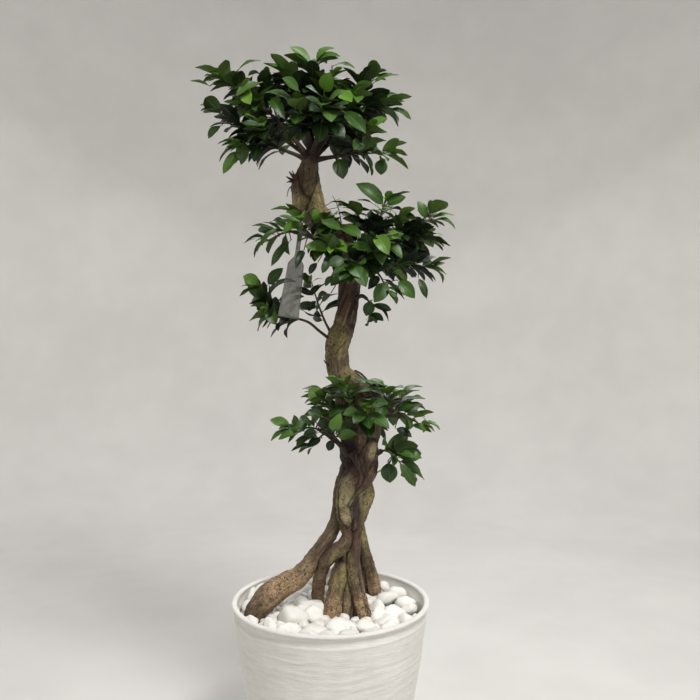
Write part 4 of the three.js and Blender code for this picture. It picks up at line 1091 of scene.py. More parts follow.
side_shoots, measured_leaves = [], []
for pad, rows in MEASURED.items():
    for foot_u, foot_v, tip_u, tip_v, forward, width, facing, age_and_shade in rows:
        origin = nearest_twig(pad, foot_u, foot_v)
        start = from_photo(foot_u, foot_v, origin[1] - BEFORE_TWIG)
        end = from_photo(tip_u, tip_v, start[1] - mm(forward))
        light = Vector((0, -facing, 1.05 - facing)).normalized()
        measured_leaves.append((pad, start, end, np.cross(end - start, light), mm(width), age_and_shade))
        gap = np.linalg.norm(start - origin)
        bend = (origin + start) / 2 + np.array([0, 0, SHOOT_RISE * gap])
        if gap > SHORTEST_SHOOT:
            side_shoots.append(smooth_line([(*origin, 0.0012), (*bend, 0.001), (*start, 0.0009)], FINE_STEP))
print(len(measured_leaves), "measured leaves, farthest side shoot",
      round(1000 * max(np.linalg.norm(line[0, :3] - line[-1, :3]) for line in side_shoots)), "mm")

# %% Thin bare shoots and hanging rootlets
# x, y, z and radius of each, in millimetres
SHOOTS = [
    [(-64, -12, 1112, 3.6), (-71, -18, 1119, 2.8), (-77, -20, 1126, 0.8)],
    [(-66, -10, 1110, 3.6), (-76, -14, 1114, 2.4), (-83, -16, 1118, 0.7)],
    [(-65, -13, 1108, 3.6), (-74, -20, 1108, 2.4), (-81, -24, 1105, 0.7)],
    [(-64, -18, 1112, 2.6), (-67, -25, 1119, 1.8), (-71, -28, 1126, 0.7)],
    [(-70, -4, 1106, 1.4), (-79, -6, 1096, 1), (-82, -6, 1082, 0.5)],
    [(-8, -26, 1062, 0.7), (4, -40, 1066, 0.5), (18, -48, 1070, 0.3)],
    [(-4, -24, 1055, 0.7), (12, -36, 1056, 0.5), (26, -40, 1062, 0.3)],
    [(45, -4, 757, 1.6), (56, -8, 751, 2.2), (70, -10, 738, 1.2)],
    [(-4, 2, 766, 1.8), (-10, 0, 771, 1.4), (-13.5, -1, 776.5, 0.8)],
    [(22, -30, 634, 1.6), (-2, -40, 641, 1.3), (-30, -50, 668, 0.8)],
    [(26, -18, 612, 1.8), (2, -36, 630, 1.4), (-22, -50, 655, 0.9)],
    [(60, -20, 600, 1.8), (68, -26, 585, 1.3), (64, -28, 560, 1)],
    [(90, 74, 330, 1.2), (98, 68, 322, 0.9), (104, 66, 318, 0.5)],
    [(64, -34, 330, 1.2), (72, -42, 320, 0.9), (78, -50, 322, 0.5)],
    [(100, -10, 1005, 1.2), (106, -20, 1030, 0.9), (112, -24, 1060, 0.5)],
    [(20, -20, 1030, 1.2), (14, -30, 1058, 0.9), (4, -36, 1078, 0.5)],
]
shoot_lines = [smooth_line(metres(line), FINE_STEP) for line in SHOOTS]


# %% A Geometry Nodes tree that gives lines their wood
twig_tree, t, given, out = geometry_tree("Grow wood along lines", {
    "Sides": ("Int", 10), "Ring Spacing": ("Float", 0.0025), "Knot Share": ("Float", 0.16),
    "Knot Scale": ("Float", 110.0), "Seed": ("Float", 5.0), "Material": ("Material", None)})
even = t.add("GeometryNodeResampleCurve", {"mode": "LENGTH"}, Curve=given["Geometry"],
             Length=given["Ring Spacing"])
spot = t.add("GeometryNodeInputPosition").outputs[0]
knots = t.add("ShaderNodeTexNoise", {"noise_dimensions": "4D"}, Vector=spot, W=given["Seed"],
              Scale=given["Knot Scale"], Detail=2.0)
radius = t.add("GeometryNodeInputRadius").outputs[0]
above_mean = t.math("SUBTRACT", knots.outputs[0], 0.45)
swell = t.math("ADD", t.math("MULTIPLY", above_mean, given["Knot Share"]), 1.0)
thick = t.math("MULTIPLY", radius, swell)
ring = t.add("GeometryNodeCurvePrimitiveCircle", Resolution=given["Sides"], Radius=1.0).outputs[0]
skinned = t.add("GeometryNodeCurveToMesh", Curve=even.outputs[0], Profile_Curve=ring, Scale=thick,
                Fill_Caps=True)
smoothed = t.add("GeometryNodeSetShadeSmooth", Geometry=skinned.outputs[0]).outputs[0]
end_tree(t, out, smoothed, given["Material"])


def curve_object(name, lines):
    """One curve object with a line of straight parts for each limb or twig."""
    data = bpy.data.curves.new(name, "CURVE")
    data.dimensions = "3D"
    for line in lines:
        spline = data.splines.new("POLY")
        spline.points.add(len(line) - 1)
        spline.points.foreach_set("co", np.hstack([line[:, :3], np.ones((len(line), 1))]).ravel())
        spline.points.foreach_set("radius", line[:, 3])
    piece = bpy.data.objects.new(name, data)
    bpy.context.scene.collection.objects.link(piece)
    return piece


print("wood tree:", len(twig_tree.nodes), "nodes")

# %% Twig bark finish
twig_bark, n, shader, place = new_material("twig_bark")
clouds = mottled(n, place, 120.0, 0.3, 0.7)
pores = specked(n, place, 420.0, 0.36, 0.3)
# The dark brown is partly the twigs' own bark and partly painted shade, as the limbs lie in the shade of the
# pads
tone = n.mix(clouds, colour(30, 22, 18), colour(70, 54, 41))
n.put(shader, "Base Color", n.tint(tone, pores, 0.25, colour(122, 104, 82)))
shader.inputs["Roughness"].default_value = 0.75
n.relief(shader, clouds, 0.6, 0.0008)

# %% Grow the limbs and twigs
limbs = grow(curve_object("limb_lines", list(limb_lines.values())), twig_tree, "limbs",
             Sides=12, Material=twig_bark)
twigs = grow(curve_object("twig_lines", list(twig_lines.values()) + side_shoots + shoot_lines), twig_tree,
             "twigs", Sides=6, Ring_Spacing=0.005, Material=twig_bark)
for piece in (limbs, twigs):
    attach(piece, "root")
    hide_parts("tree")
    print(piece.name, triangles(piece), "triangles")

# %% [markdown]
# ## The leaves
# A banyan leaf is leathery: an oval blade on a short stalk, folded a little along its midrib,
# arched along its length and pointed at its tip. A few leaf shapes are modelled as closed blades.
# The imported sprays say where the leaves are, and more leaves of the same kind fill the pads.

# %% Outline of a leaf, one unit long
# Share of the length and of the half width, and the half width itself
BLADE = [(0.14, 0.28), (0.22, 0.62), (0.33, 0.88), (0.47, 1.0), (0.61, 0.99), (0.75, 0.84), (0.87, 0.54),
         (0.95, 0.22)]
HALF_WIDTH, THICKNESS, MIDRIB = 0.285, 0.008, 0.006
SHAPES = [  # arch, fold, twist, droop of the tip
    (0.07, 0.22, 0.0, 0.02), (0.11, 0.12, 0.12, 0.04), (0.16, 0.26, -0.10, 0.08), (0.04, 0.34, 0.05, 0.00),
    (0.13, 0.06, -0.16, 0.10), (0.09, 0.18, 0.16, 0.05)]


def leaf_shape(index, arch, fold, twist, droop):
    """A leaf one unit long, from its foot at the origin along +Y, with its upper face towards +Z."""
    def middle(s):
        rise = arch * math.sin(math.pi * s * 0.95) - droop * s**3
        return np.array([0.02 * twist * math.sin(4 * s), s, rise])

    def across(s, share, half):
        lean = twist * (s - 0.3) * 2
        lift = half * (fold * abs(share) ** 1.4 - 0.06 * math.sin(13 * s + index) * share)
        x, z = share * half, lift
        return middle(s) + np.array([x * math.cos(lean) - z * math.sin(lean), 0,
                                     x * math.sin(lean) + z * math.cos(lean)])

    points, faces, under, uv = [middle(0.09)], [], [], [(0.5, 0.09)]
    for s, share in BLADE:
        half = HALF_WIDTH * share
        for c in (-1, -0.5, 0, 0.5, 1):
            points.append(across(s, c, half))
            uv.append((0.5 + 0.5 * c, s))
        for c in (0.5, 0, -0.5):
            points.append(across(s, c, half) - np.array([0, 0, THICKNESS + (MIDRIB if c == 0 else 0)]))
            uv.append((0.5 + 0.5 * c, s))
    points.append(middle(1.0))
    uv.append((0.5, 1.0))
    rows, tip = len(BLADE), len(points) - 1
    for c in range(8):
        d = (c + 1) % 8
        below = 0.0 if c < 4 else 1.0
        faces.append((0, 1 + d, 1 + c))
        under.append(below)
        for r in range(rows - 1):
            a, b = 1 + r * 8 + c, 1 + r * 8 + d
            faces.append((a, b, b + 8, a + 8))
            under.append(below)
        faces.append((1 + (rows - 1) * 8 + c, 1 + (rows - 1) * 8 + d, tip))
        under.append(below)
    stalk = np.array([[*middle(s), r] for s, r in ((-0.02, 0.022), (0.06, 0.018), (0.15, 0.013))])
    stalk[0, 2] -= 0.01
    stalk_points, stalk_faces = tube(stalk, 4)
    base = len(points)
    points = np.vstack([points, stalk_points])
    faces += [tuple(i + base for i in f) for f in stalk_faces]
    under += [2.0] * len(stalk_faces)
    uv += [(0.5, 0.0)] * len(stalk_points)
    return points, faces, under, uv


def on_rim(vertex):
    """True for a point of the blade's edge, the first and the fifth of the eight in each row."""
    return 0 < vertex < 2 + len(BLADE) * 8 and (vertex - 1) % 8 in (0, 4)


def leaf_object(index, values):
    """A leaf shape with a sharp edge round its blade."""
    points, faces, under, uv = leaf_shape(index, *values)
    piece = make_object(f"leaf_shape_{index}", points, faces, attributes={
        "under": ("FLOAT", "FACE", under),
        "leaf_place": ("FLOAT_VECTOR", "POINT", [(u, v, 0) for u, v in uv])})
    edges = piece.data.attributes.new("sharp_edge", "BOOLEAN", "EDGE")
    edges.data.foreach_set("value", [all(on_rim(v) for v in edge.vertices) for edge in piece.data.edges])
    return piece


def put_away(name, pieces):
    """A collection of shapes that aren't shown themselves, for a tree to pick from."""
    shelf = bpy.data.collections.new(name)
    for piece in pieces:
        bpy.context.scene.collection.objects.unlink(piece)
        shelf.objects.link(piece)
    return shelf


leaf_shapes = put_away("leaf_shapes", [leaf_object(index, values) for index, values in enumerate(SHAPES)])

# %% [markdown]
# Each packed spray is one closed mesh. On it a leaf's tip is a corner with four long edges, and
# from there the blade can be followed back to its foot. That gives the leaf's length, direction
# and width exactly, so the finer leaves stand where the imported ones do.

# %% Read the leaves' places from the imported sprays
PAD_MIDDLES = {"top": (-0.045, 0.010, 1.130), "mid": (0.050, 0.010, 0.900), "low": (0.045, 0.010, 0.600)}


def merged_copy(node):
    """Points without doubles, and each point's neighbours, from a node's loose triangles."""
    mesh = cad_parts[node].data
    points = np.array([v.co for v in mesh.vertices])
    keys, first, index = np.unique(np.round(points * 1e6).astype(int), axis=0,
                                   return_index=True, return_inverse=True)
    index = index.ravel()
    neighbours = [set() for _ in keys]
    for face in mesh.polygons:
        a, b, c = (int(index[v]) for v in face.vertices)
        neighbours[a] |= {b, c}
        neighbours[b] |= {a, c}
        neighbours[c] |= {a, b}
    return points[first], neighbours


def unit(v):
    return v / np.linalg.norm(v)


def unit_rows(rows):
    return rows / np.linalg.norm(rows, axis=1)[:, None]


def leaves_of(node):
    """Foot, tip, direction across and width of every leaf of a packed spray."""
    points, neighbours = merged_copy(node)
    found = []
    for tip, near in enumerate(neighbours):
        if len(near) != 4 or any(np.linalg.norm(points[tip] - points[k]) < 0.008 for k in near):
            continue
        loops, seen = [near], near | {tip}
        for _ in range(2):
            following = set().union(*(neighbours[k] for k in loops[-1])) - seen
            loops.append(following)
            seen |= following
        middle, foot = (points[list(loop)] for loop in (loops[1], loops[2]))
        if len(middle) != 4:
            continue
        centre = middle.mean(0)
        spread = np.linalg.svd(middle - centre)[2][0]
        width = 2 * np.abs((middle - centre) @ spread).max()
        found.append((foot[:4].mean(0) if len(foot) >= 4 else foot.mean(0), points[tip], spread, width))
    return found


placed = {pad: [] for pad in PAD_MIDDLES}
for name in SPRAYS:
    for foot, tip, spread, width in leaves_of("spray_" + name):
        placed[name.split("_")[0]].append((name, foot, tip, spread, width))
print("packed leaves found:", {pad: len(rows) for pad, rows in placed.items()})

# %% Turn each place into a direction, a size and a shape
# A leaf's steepest rise and fall, and how much of what goes past them it keeps
STEEPEST_UP, STEEPEST_DOWN, KEPT_SHARE = 0.30, -0.55, 0.25
# How far left and right each pad reaches, and how close to each other two leaves count as one
PAD_REACH = {"top": (-0.245, 0.150), "mid": (-0.165, 0.225), "low": (-0.103, 0.190)}
CROWDED = 0.007
# Boxes that stay bare: before the shoulders, under the top pad's middle, left of the braid, under
# the middle pad's side spray, and between the low pad and the braid
BARE_SPACES = [metres(box) for box in (
    [(-88, -200, 1040), (16, 0, 1150)], [(-122, -200, 1090), (50, 200, 1166)],
    [(-60, -200, 540), (36, 30, 606)], [(-75, -200, 722), (-22, 50, 775)],
    [(-22, -200, 606), (42, 0, 640)])]
# Twigs whose leaves are painted darker, as shade, by so much, or narrower by this share
SHADED_TWIGS = {"mid_08": 0.35, "mid_12": 0.2, "mid_18": 0.5, "mid_19": 0.5, "mid_20": 0.15, "low_02": 0.25,
         "low_03": 0.4, "low_09": 0.2}
SLIM = {"low_02": 0.62, "low_03": 0.6, "mid_08": 0.62, "mid_12": 0.75, "mid_18": 0.62, "mid_19": 0.55,
        "mid_20": 0.7, "top_13": 0.8}
# A leaf hides a measured one where it stands before it and is seen nearer to its middle than this
# share of its length, at the pads' mean distance from the camera
HIDDEN_SHARE, BEFORE, PAD_DISTANCE = 0.36, 0.003, 1.3
middles = np.array([(start + end) / 2 for _, start, end, *_ in measured_leaves])
seen_middles = in_photo(middles)
seen_lengths = np.array([np.linalg.norm(end - start) for _, start, end, *_ in measured_leaves])
seen_lengths = seen_lengths * FOCAL / PAD_DISTANCE


def in_bare_space(spots):
    """True for a leaf that would fill a space that the photograph shows bare, or hide a measured leaf."""
    if any(((spots > box[0]) & (spots < box[1])).all(axis=1).sum() > 1 for box in BARE_SPACES):
        return True
    apart = np.linalg.norm(in_photo(spots)[:, None] - seen_middles[None], axis=2)
    before = spots[:, 1][:, None] < middles[:, 1] - BEFORE
    return bool(((apart < HIDDEN_SHARE * seen_lengths) & before).any())


def within_reach(pad, foot, forward, length):
    """A leaf is shorter where it would stand out past its pad's edge, left or right."""
    left, right = PAD_REACH[pad]
    tip = foot[0] + forward[0] * length
    over = max(0.0, left - tip, tip - right)
    return length * max(0.6, 1 - over / max(1e-6, abs(forward[0]) * length))


def laid_out(forward):
    """A leaf turns its blade to the light, so one that would stand upright lies out more."""
    rise = forward[2]
    if rise > STEEPEST_UP:
        rise = STEEPEST_UP + KEPT_SHARE * (rise - STEEPEST_UP)
    elif rise < STEEPEST_DOWN:
        rise = STEEPEST_DOWN + KEPT_SHARE * (rise - STEEPEST_DOWN)
    level = forward[:2] / max(1e-6, np.linalg.norm(forward[:2])) * math.sqrt(1 - rise * rise)
    return np.array([*level, rise])


def leaf_turn(foot, tip, spread, pad):
    """The rotation that lays a leaf shape from foot to tip with its upper face to the light."""
    forward = laid_out(unit(tip - foot))
    light = unit(foot - np.array(PAD_MIDDLES[pad])) + np.array([0, 0, 0.6])
    facing = unit(np.cross(forward, light))
    sideways = spread if spread @ facing > 0 else -spread
    sideways = sideways + 1.1 * facing
    sideways = unit(sideways - forward * (sideways @ forward))
    normal = np.cross(sideways, forward)
    if normal @ light < 0:
        sideways, normal = -sideways, -normal
    return sideways, forward, normal


# Where a blade is tested for what it comes near: shares of its length along it and above it
PROBES = ((0.35, 0.12), (0.65, 0.12), (0.95, 0.02))


def probe_points(foot, forward, normal, length):
    return np.array([foot + forward * length * s + normal * length * h for s, h in PROBES])


def pick(rng):
    return int(rng.integers(len(SHAPES)))


def add_leaf(pad, foot, axes, breadth, length, kind, age_and_shade):
    turn = tuple(Matrix(np.array(axes).T.tolist()).to_euler())
    leaf_rows[pad].append((foot, turn, (breadth, length, length), kind, age_and_shade))


print("leaves are kept out of", len(BARE_SPACES), "boxes and from before", len(middles), "measured leaves")

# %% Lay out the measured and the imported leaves
# A packed leaf's widest part as a share of its length, and how much narrower the finer ones are
PACKED_WIDTH, NARROWER, AGE_SPREAD = 0.84 * 0.54, (0.80, 0.98), 0.16
leaf_rows = {pad: [] for pad in placed}
probes = []
rng = np.random.default_rng(12)
for pad, foot, tip, spread, width, age_and_shade in measured_leaves:
    length = np.linalg.norm(tip - foot)
    forward = unit(tip - foot)
    sideways = unit(spread - forward * (spread @ forward))
    axes = (sideways, forward, np.cross(sideways, forward))
    add_leaf(pad, foot, axes, width / (2 * HALF_WIDTH), length, pick(rng), age_and_shade)
    probes.append(probe_points(foot, forward, axes[2], length))
for pad, rows in placed.items():
    for name, foot, tip, spread, width in rows:
        axes = leaf_turn(foot, tip, spread, pad)
        length = within_reach(pad, foot, axes[1], np.linalg.norm(tip - foot))
        spots = probe_points(foot, axes[1], axes[2], length)
        to_nearest = np.linalg.norm(np.array(probes)[:, 1] - spots[1], axis=1).min()
        if in_bare_space(spots) or to_nearest < CROWDED:
            continue
        broad = min(1.0, width / (PACKED_WIDTH * length)) * rng.uniform(*NARROWER) * SLIM.get(name, 1.0)
        add_leaf(pad, foot, axes, broad * length, length, pick(rng),
                 AGE_SPREAD * rng.random() - SHADED_TWIGS.get(name, 0.0))
        probes.append(spots)
print("leaves so far:", len(probes))

# %% Where a new leaf has room
BOX_MARGIN, NEIGHBOURHOOD, WOOD_GAP = 0.008, 0.06, 0.003
TAG_BOX = metres([(-100, -85, 835), (-40, -45, 1008)])
wood_samples = np.vstack(list(lines.values()) + list(limb_lines.values()))


def past_box(spots):
    low_corner, high_corner = (np.array(corner) for corner in cad_box)
    return (spots < low_corner - BOX_MARGIN).any() or (spots > high_corner + BOX_MARGIN).any()


def has_room(spots, gap):
    """True where a new leaf's probe points keep off the other leaves, the wood, the tag and the box."""
    in_tag = ((spots > TAG_BOX[0]) & (spots < TAG_BOX[1])).all(axis=1).any()
    if in_tag or in_bare_space(spots) or past_box(spots):
        return False
    others = np.vstack(probes)
    near = np.abs(others - spots[1]).max(axis=1) < NEIGHBOURHOOD
    if near.any() and np.linalg.norm(others[near][:, None] - spots[None], axis=2).min() < gap:
        return False
    from_wood = np.linalg.norm(wood_samples[:, None, :3] - spots[None], axis=2) - wood_samples[:, 3:4]
    return from_wood.min() > WOOD_GAP


print("wood to keep off:", len(wood_samples), "samples")

# %% Grow more leaves along the twigs
LEAF_LENGTH, LEAFY_LENGTH = 0.054, 0.125
# How close two leaves come in each pad, and how many more leaves a twig gets
LEAF_GAP = {"top": 0.0088, "mid": 0.0105, "low": 0.0125}
MORE_PER_TWIG = {"top": 18, "mid": 12, "low": 8}
FEW_ON = {"top_13": 3, "top_15": 7, "low_02": 2, "low_03": 1, "low_04": 3, "mid_08": 5, "mid_12": 4,
          "mid_13": 7, "mid_18": 4, "mid_19": 1, "mid_21": 7}
# Leaves follow each other round a twig by this angle, in degrees. They lean out by the first tilt
# at its foot and by so much less at its tip, give or take the last
AROUND, TILT_AT_FOOT, LESS_TILT, TILT_SPREAD = 137.5, 68, 38, 9
TRIES_PER_TWIG = 120


def try_leaf(line, frames, share, angle, pad, rng):
    """Foot, directions and length of a leaf at a share of a twig, on the side at this angle."""
    tangent, across, up, _ = frames
    i = min(len(line) - 1, int(share * (len(line) - 1)))
    outward = across[i] * math.cos(angle) + up[i] * math.sin(angle)
    tilt = math.radians(TILT_AT_FOOT - LESS_TILT * share + rng.normal() * TILT_SPREAD)
    forward = unit(outward * math.sin(tilt) + tangent[i] * math.cos(tilt) + np.array([0, 0, 0.14]))
    foot = line[i, :3]
    light = unit(foot - np.array(PAD_MIDDLES[pad])) + np.array([0, 0, 0.7]) + 0.25 * rng.normal(size=3)
    spread = unit(np.cross(forward, light))
    length = LEAF_LENGTH * (0.80 + 0.36 * rng.random())
    return foot, leaf_turn(foot, foot + forward * length, spread, pad), length


added = 0
for order, (name, line) in enumerate(twig_lines.items()):
    pad = name.split("_")[0]
    rng = np.random.default_rng(500 + order)
    frames = frames_along(line)
    bare = max(0.12, 1 - LEAFY_LENGTH / frames[3][-1])
    angle, kept = rng.random() * 6.28, 0
    for _ in range(TRIES_PER_TWIG):
        angle += math.radians(AROUND)
        share = bare + (1 - bare) * rng.random()
        foot, axes, length = try_leaf(line, frames, share, angle, pad, rng)
        spots = probe_points(foot, axes[1], axes[2], length)
        if within_reach(pad, foot, axes[1], length) == length and has_room(spots, LEAF_GAP[pad]):
            probes.append(spots)
            broad = rng.uniform(0.70, 0.94) * SLIM.get(name, 1.0)
            add_leaf(pad, foot, axes, length * broad, length, pick(rng),
                     0.18 * rng.random() - SHADED_TWIGS.get(name, 0.0))
            kept += 1
            if kept >= FEW_ON.get(name, MORE_PER_TWIG[pad]):
                break
    added += kept
print("more leaves:", added)

# %% [markdown]
# Every twig ends in its youngest leaves: a tuft of three or four short ones round a pointed bud.
# They are a fresher, yellower green than the old leaves.

# %% Young leaves at the tips
YOUNG_LENGTH, YOUNG_WIDTH, TUFT = 0.030, 0.86, 4
# How young the tuft is on twigs that stand out in the photograph: 1 fresh, 0 old, and below 0 painted darker
# as shade
BRIGHT = {"top_01": 0.7, "top_03": 0.9, "top_12": 1.0, "top_05": 0.6, "mid_20": 0.5, "mid_01": 0.8,
          "mid_16": 0.9, "mid_06": 0.5, "mid_09": 0.6, "low_01": 0.6, "low_10": 0.45, "low_05": 0.35,
          "mid_03": 0.7, "low_04": 0.4, "mid_19": -0.6, "mid_10": -0.4, "mid_12": -0.3}
for order, (name, line) in enumerate(twig_lines.items()):
    pad = name.split("_")[0]
    rng = np.random.default_rng(900 + order)
    frames = frames_along(line)
    age_and_shade = BRIGHT.get(name, 0.15 + 0.25 * rng.random())
    angle = rng.random() * 6.28
    for k in range(TUFT):
        angle += math.radians(AROUND)
        foot, axes, _ = try_leaf(line, frames, 1.0, angle, pad, rng)
        length = YOUNG_LENGTH * (0.8 + 0.5 * rng.random()) * (1.15 if k < 2 else 0.8)
        spots = probe_points(foot, axes[1], axes[2], length)
        if past_box(spots) or in_bare_space(spots):
            continue
        add_leaf(pad, foot, axes, length * YOUNG_WIDTH, length, pick(rng), min(1.0, age_and_shade + 0.1 * k))
print("leaves:", {pad: len(rows) for pad, rows in leaf_rows.items()})

# %% Paint shade on the leaves that lie under others
# How far away a leaf still covers another, how near it counts as the same, how straight above it has to lie,
# how many of them make full painted shade, and from which value on leaves stay bright and get no painted
# shade
COVER_REACH, SAME_LEAF, STRAIGHT, COVER_FULL, STAYS_BRIGHT = 0.075, 0.012, 0.72, 19, 0.35


def shaded(pad, rows):
    """Painted shade: each leaf's value goes below nought by how many leaves lie between it and the open."""
    feet = np.array([row[0] for row in rows])
    made = []
    for foot, turn, size, kind, age_and_shade in rows:
        outward = unit(unit(foot - np.array(PAD_MIDDLES[pad])) + np.array([0.2, -0.3, 0.8]))
        away = feet - foot
        far = np.linalg.norm(away, axis=1)
        over = (far < COVER_REACH) & (far > SAME_LEAF) & (away @ outward > STRAIGHT * far)
        shade = min(1.0, over.sum() / COVER_FULL)
        made.append((foot, turn, size, kind, age_and_shade if age_and_shade > STAYS_BRIGHT else age_and_shade - shade))
    return made


leaf_rows = {pad: shaded(pad, rows) for pad, rows in leaf_rows.items()}
print("leaves in deep shade:", sum(row[4] < -0.5 for rows in leaf_rows.values() for row in rows))

# %% A Geometry Nodes tree that sets shapes on points
scatter_tree, t, given, out = geometry_tree("Set shapes on points", {
    "Shapes": ("Collection", None), "Size": ("Float", 1.0), "Hue Spread": ("Float", 1.0), "Seed": ("Int", 4),
    "Material": ("Material", None)})
choices = t.add("GeometryNodeCollectionInfo", Collection=given["Shapes"], Separate_Children=True,
                Reset_Children=True)
turn, size, shape = (
    t.add("GeometryNodeInputNamedAttribute", {"data_type": kind}, Name=key).outputs[0]
    for key, kind in (("turn", "FLOAT_VECTOR"), ("size", "FLOAT_VECTOR"), ("shape", "INT")))
scaled = t.add("ShaderNodeVectorMath", {"operation": "SCALE"}, Vector=size, Scale=given["Size"]).outputs[0]
rotation = t.add("FunctionNodeEulerToRotation")
t.put(rotation, "#0", turn)
stand = t.add("GeometryNodeInstanceOnPoints", Points=given["Geometry"], Instance=choices.outputs[0],
              Pick_Instance=True, Instance_Index=shape, Rotation=rotation.outputs[0], Scale=scaled)
chance = t.add("FunctionNodeRandomValue", {"data_type": "FLOAT"}, Seed=given["Seed"])
t.put(chance, "#3", given["Hue Spread"])
marked = t.add("GeometryNodeStoreNamedAttribute", {"data_type": "FLOAT", "domain": "INSTANCE"},
               Geometry=stand.outputs[0], Name="chance", Value=chance.outputs[1])
end_tree(t, out, marked.outputs[0], given["Material"])


def points_object(name, rows):
    """Points that carry each shape's turn, size, kind and age."""
    places, turns, sizes, kinds, ages = zip(*rows)
    return make_object(name, places, [], attributes={
        "turn": ("FLOAT_VECTOR", "POINT", turns), "size": ("FLOAT_VECTOR", "POINT", sizes),
        "shape": ("INT", "POINT", kinds), "age_and_shade": ("FLOAT", "POINT", ages)})


print("scatter tree:", len(scatter_tree.nodes), "nodes")

# %% [markdown]
# The upper face is a glossy deep green with a paler midrib and faint side veins. The lower face is a duller,
# greyer green. Each leaf differs a little, the young ones are yellower, and leaves that lie under others are
# painted darker, as shade.

# %% Leaf finish
leaf_green, n, shader, place = new_material("leathery_leaf")
across, lengthwise, _ = n.add("ShaderNodeSeparateXYZ", Vector=n.attribute("leaf_place", "Vector")).outputs
from_midrib = n.math("ABSOLUTE", n.math("SUBTRACT", across, 0.5))
midrib = n.band(from_midrib, 0.012, 0.045, 1.0, 0.0)
slant = n.math("ADD", n.math("MULTIPLY", lengthwise, 52.0), n.math("MULTIPLY", from_midrib, -34.0))
veins = n.band(n.math("SINE", slant), 0.80, 1.0)
clouds = mottled(n, place, 60.0, 0.3, 0.7)
chance = n.attribute("chance")
age_and_shade = n.attribute("age_and_shade")
old = n.mix(n.math("POWER", chance, 1.6), colour(27, 54, 16), colour(64, 102, 28))
old = n.tint(old, clouds, 0.25, colour(72, 106, 30))
# Painted shade: below nought the old green darkens towards a near-black green, for leaves that lie under
# others
old = n.mix(n.band(age_and_shade, -0.95, 0.0, 1.0, 0.0), old, colour(16, 36, 14))
young = n.mix(chance, colour(74, 116, 30), colour(112, 150, 50))
upper = n.mix(n.band(age_and_shade, 0.0, 1.0), old, young)
upper = n.tint(upper, midrib, 0.2, colour(128, 158, 86))
upper = n.tint(upper, veins, 0.10, colour(120, 150, 84))
# The lower face darkens the same way below nought, as painted shade
lower = n.mix(n.band(age_and_shade, -0.8, 1.0), colour(20, 36, 16), colour(108, 142, 60))
lower = n.tint(lower, midrib, 0.25, colour(130, 152, 92))
under = n.attribute("under")
tone = n.mix(n.math("GREATER_THAN", under, 0.5), upper, lower)
tone = n.mix(n.math("GREATER_THAN", under, 1.5), tone, colour(112, 132, 62))
n.put(shader, "Base Color", tone)
n.put(shader, "Roughness", n.band(under, 0.0, 1.0, 0.40, 0.68))
shader.inputs["Specular IOR Level"].default_value = 0.33
height = n.math("SUBTRACT", n.math("MULTIPLY", clouds, 0.25),
                n.math("ADD", n.math("MULTIPLY", midrib, 0.7), n.math("MULTIPLY", veins, 0.35)))
n.relief(shader, height, 0.45, 0.0008)

# %% Set the leaves
for pad, rows in leaf_rows.items():
    leaves = grow(points_object(f"{pad}_points", rows), scatter_tree, f"leaves_{pad}",
                  Shapes=leaf_shapes, Material=leaf_green)
    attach(leaves, "root")
    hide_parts(*[f"spray_{name}" for name in SPRAYS if name.startswith(pad)])
    print(leaves.name, triangles(leaves), "triangles")

# %% [markdown]
# ## The pebbles
# White tumbled marble, 25 to 55 mm long, lies over the soil in two loose layers. A few stone shapes
# are turned and scaled differently at each place. The large front ones stand where they were
# measured, and the rest fall where they find room beside the roots and each other.

# %% Model the stone shapes
STONE_KINDS, STONE_FACETS, STONE_WEAR = 8, 12, 22
STONE_SIZE, STONE_LUMPS, LUMPS_PER_RADIUS = 1.04, 0.07, 2.6


def stone_shape(index):
    """A ball of radius one pressed flat on a few sides. A higher wear leaves sharper edges."""
    rng = np.random.default_rng(70 + index)
    facets = unit_rows(rng.normal(size=(STONE_FACETS, 3))) / rng.uniform(0.66, 0.94, STONE_FACETS)[:, None]
    stone = bmesh.new()
    bmesh.ops.create_icosphere(stone, subdivisions=3, radius=1.0)
    for vertex in stone.verts:
        way = np.array(vertex.co)
        pressed = (np.maximum(0, facets @ way) ** STONE_WEAR).sum() + 0.9**STONE_WEAR
        uneven = noise.noise(vertex.co * LUMPS_PER_RADIUS + Vector((index * 3.7, 9, 1)))
        vertex.co *= pressed ** (-1 / STONE_WEAR) * (STONE_SIZE + STONE_LUMPS * uneven)
    points, faces = [v.co.copy() for v in stone.verts], [[v.index for v in f.verts] for f in stone.faces]
    stone.free()
    return points, faces


stone_kinds = put_away("stone_kinds", [
    make_object(f"stone_kind_{index}", *stone_shape(index)) for index in range(STONE_KINDS)])

# %% Find room for the stones
# x, y and half sizes of the large stones in front, then x, y, z and half sizes of those that are
# heaped against the wall
FRONT_STONES = metres([
    (18, -88, 30, 22, 16), (-68, -60, 27, 20, 21), (-32, -44, 17, 15, 17), (-107, -74, 19, 17, 13),
    (-72, -108, 22, 17, 13), (-24, -110, 20, 18, 14), (62, -84, 20, 18, 14), (88, 4, 15, 20, 15),
    (116, -22, 22, 22, 15), (142, 24, 19, 22, 15), (104, -66, 24, 20, 13), (-150, 16, 17, 22, 13),
    (34, -130, 22, 17, 12)])
WALL_STONES = metres([
    (-151.5, 34, 320, 20, 12.5, 14), (-139, 73, 316, 21, 12, 14), (-157, -6, 315, 17, 11, 13),
    (-136, 46, 304, 16, 14, 12), (-94, 108, 310, 21, 16, 14), (-55, 132, 308, 22, 16, 14),
    (-106, 34, 306, 20, 18, 13), (128, 70, 312, 22, 16, 14), (98, 108, 310, 22, 16, 14),
    (20, 143, 306, 22, 15, 13), (146, -10, 310, 17, 14, 13)])
BED_TOP, STONE_SINK = 0.301, 0.004
STONE_LIMIT = 0.1695
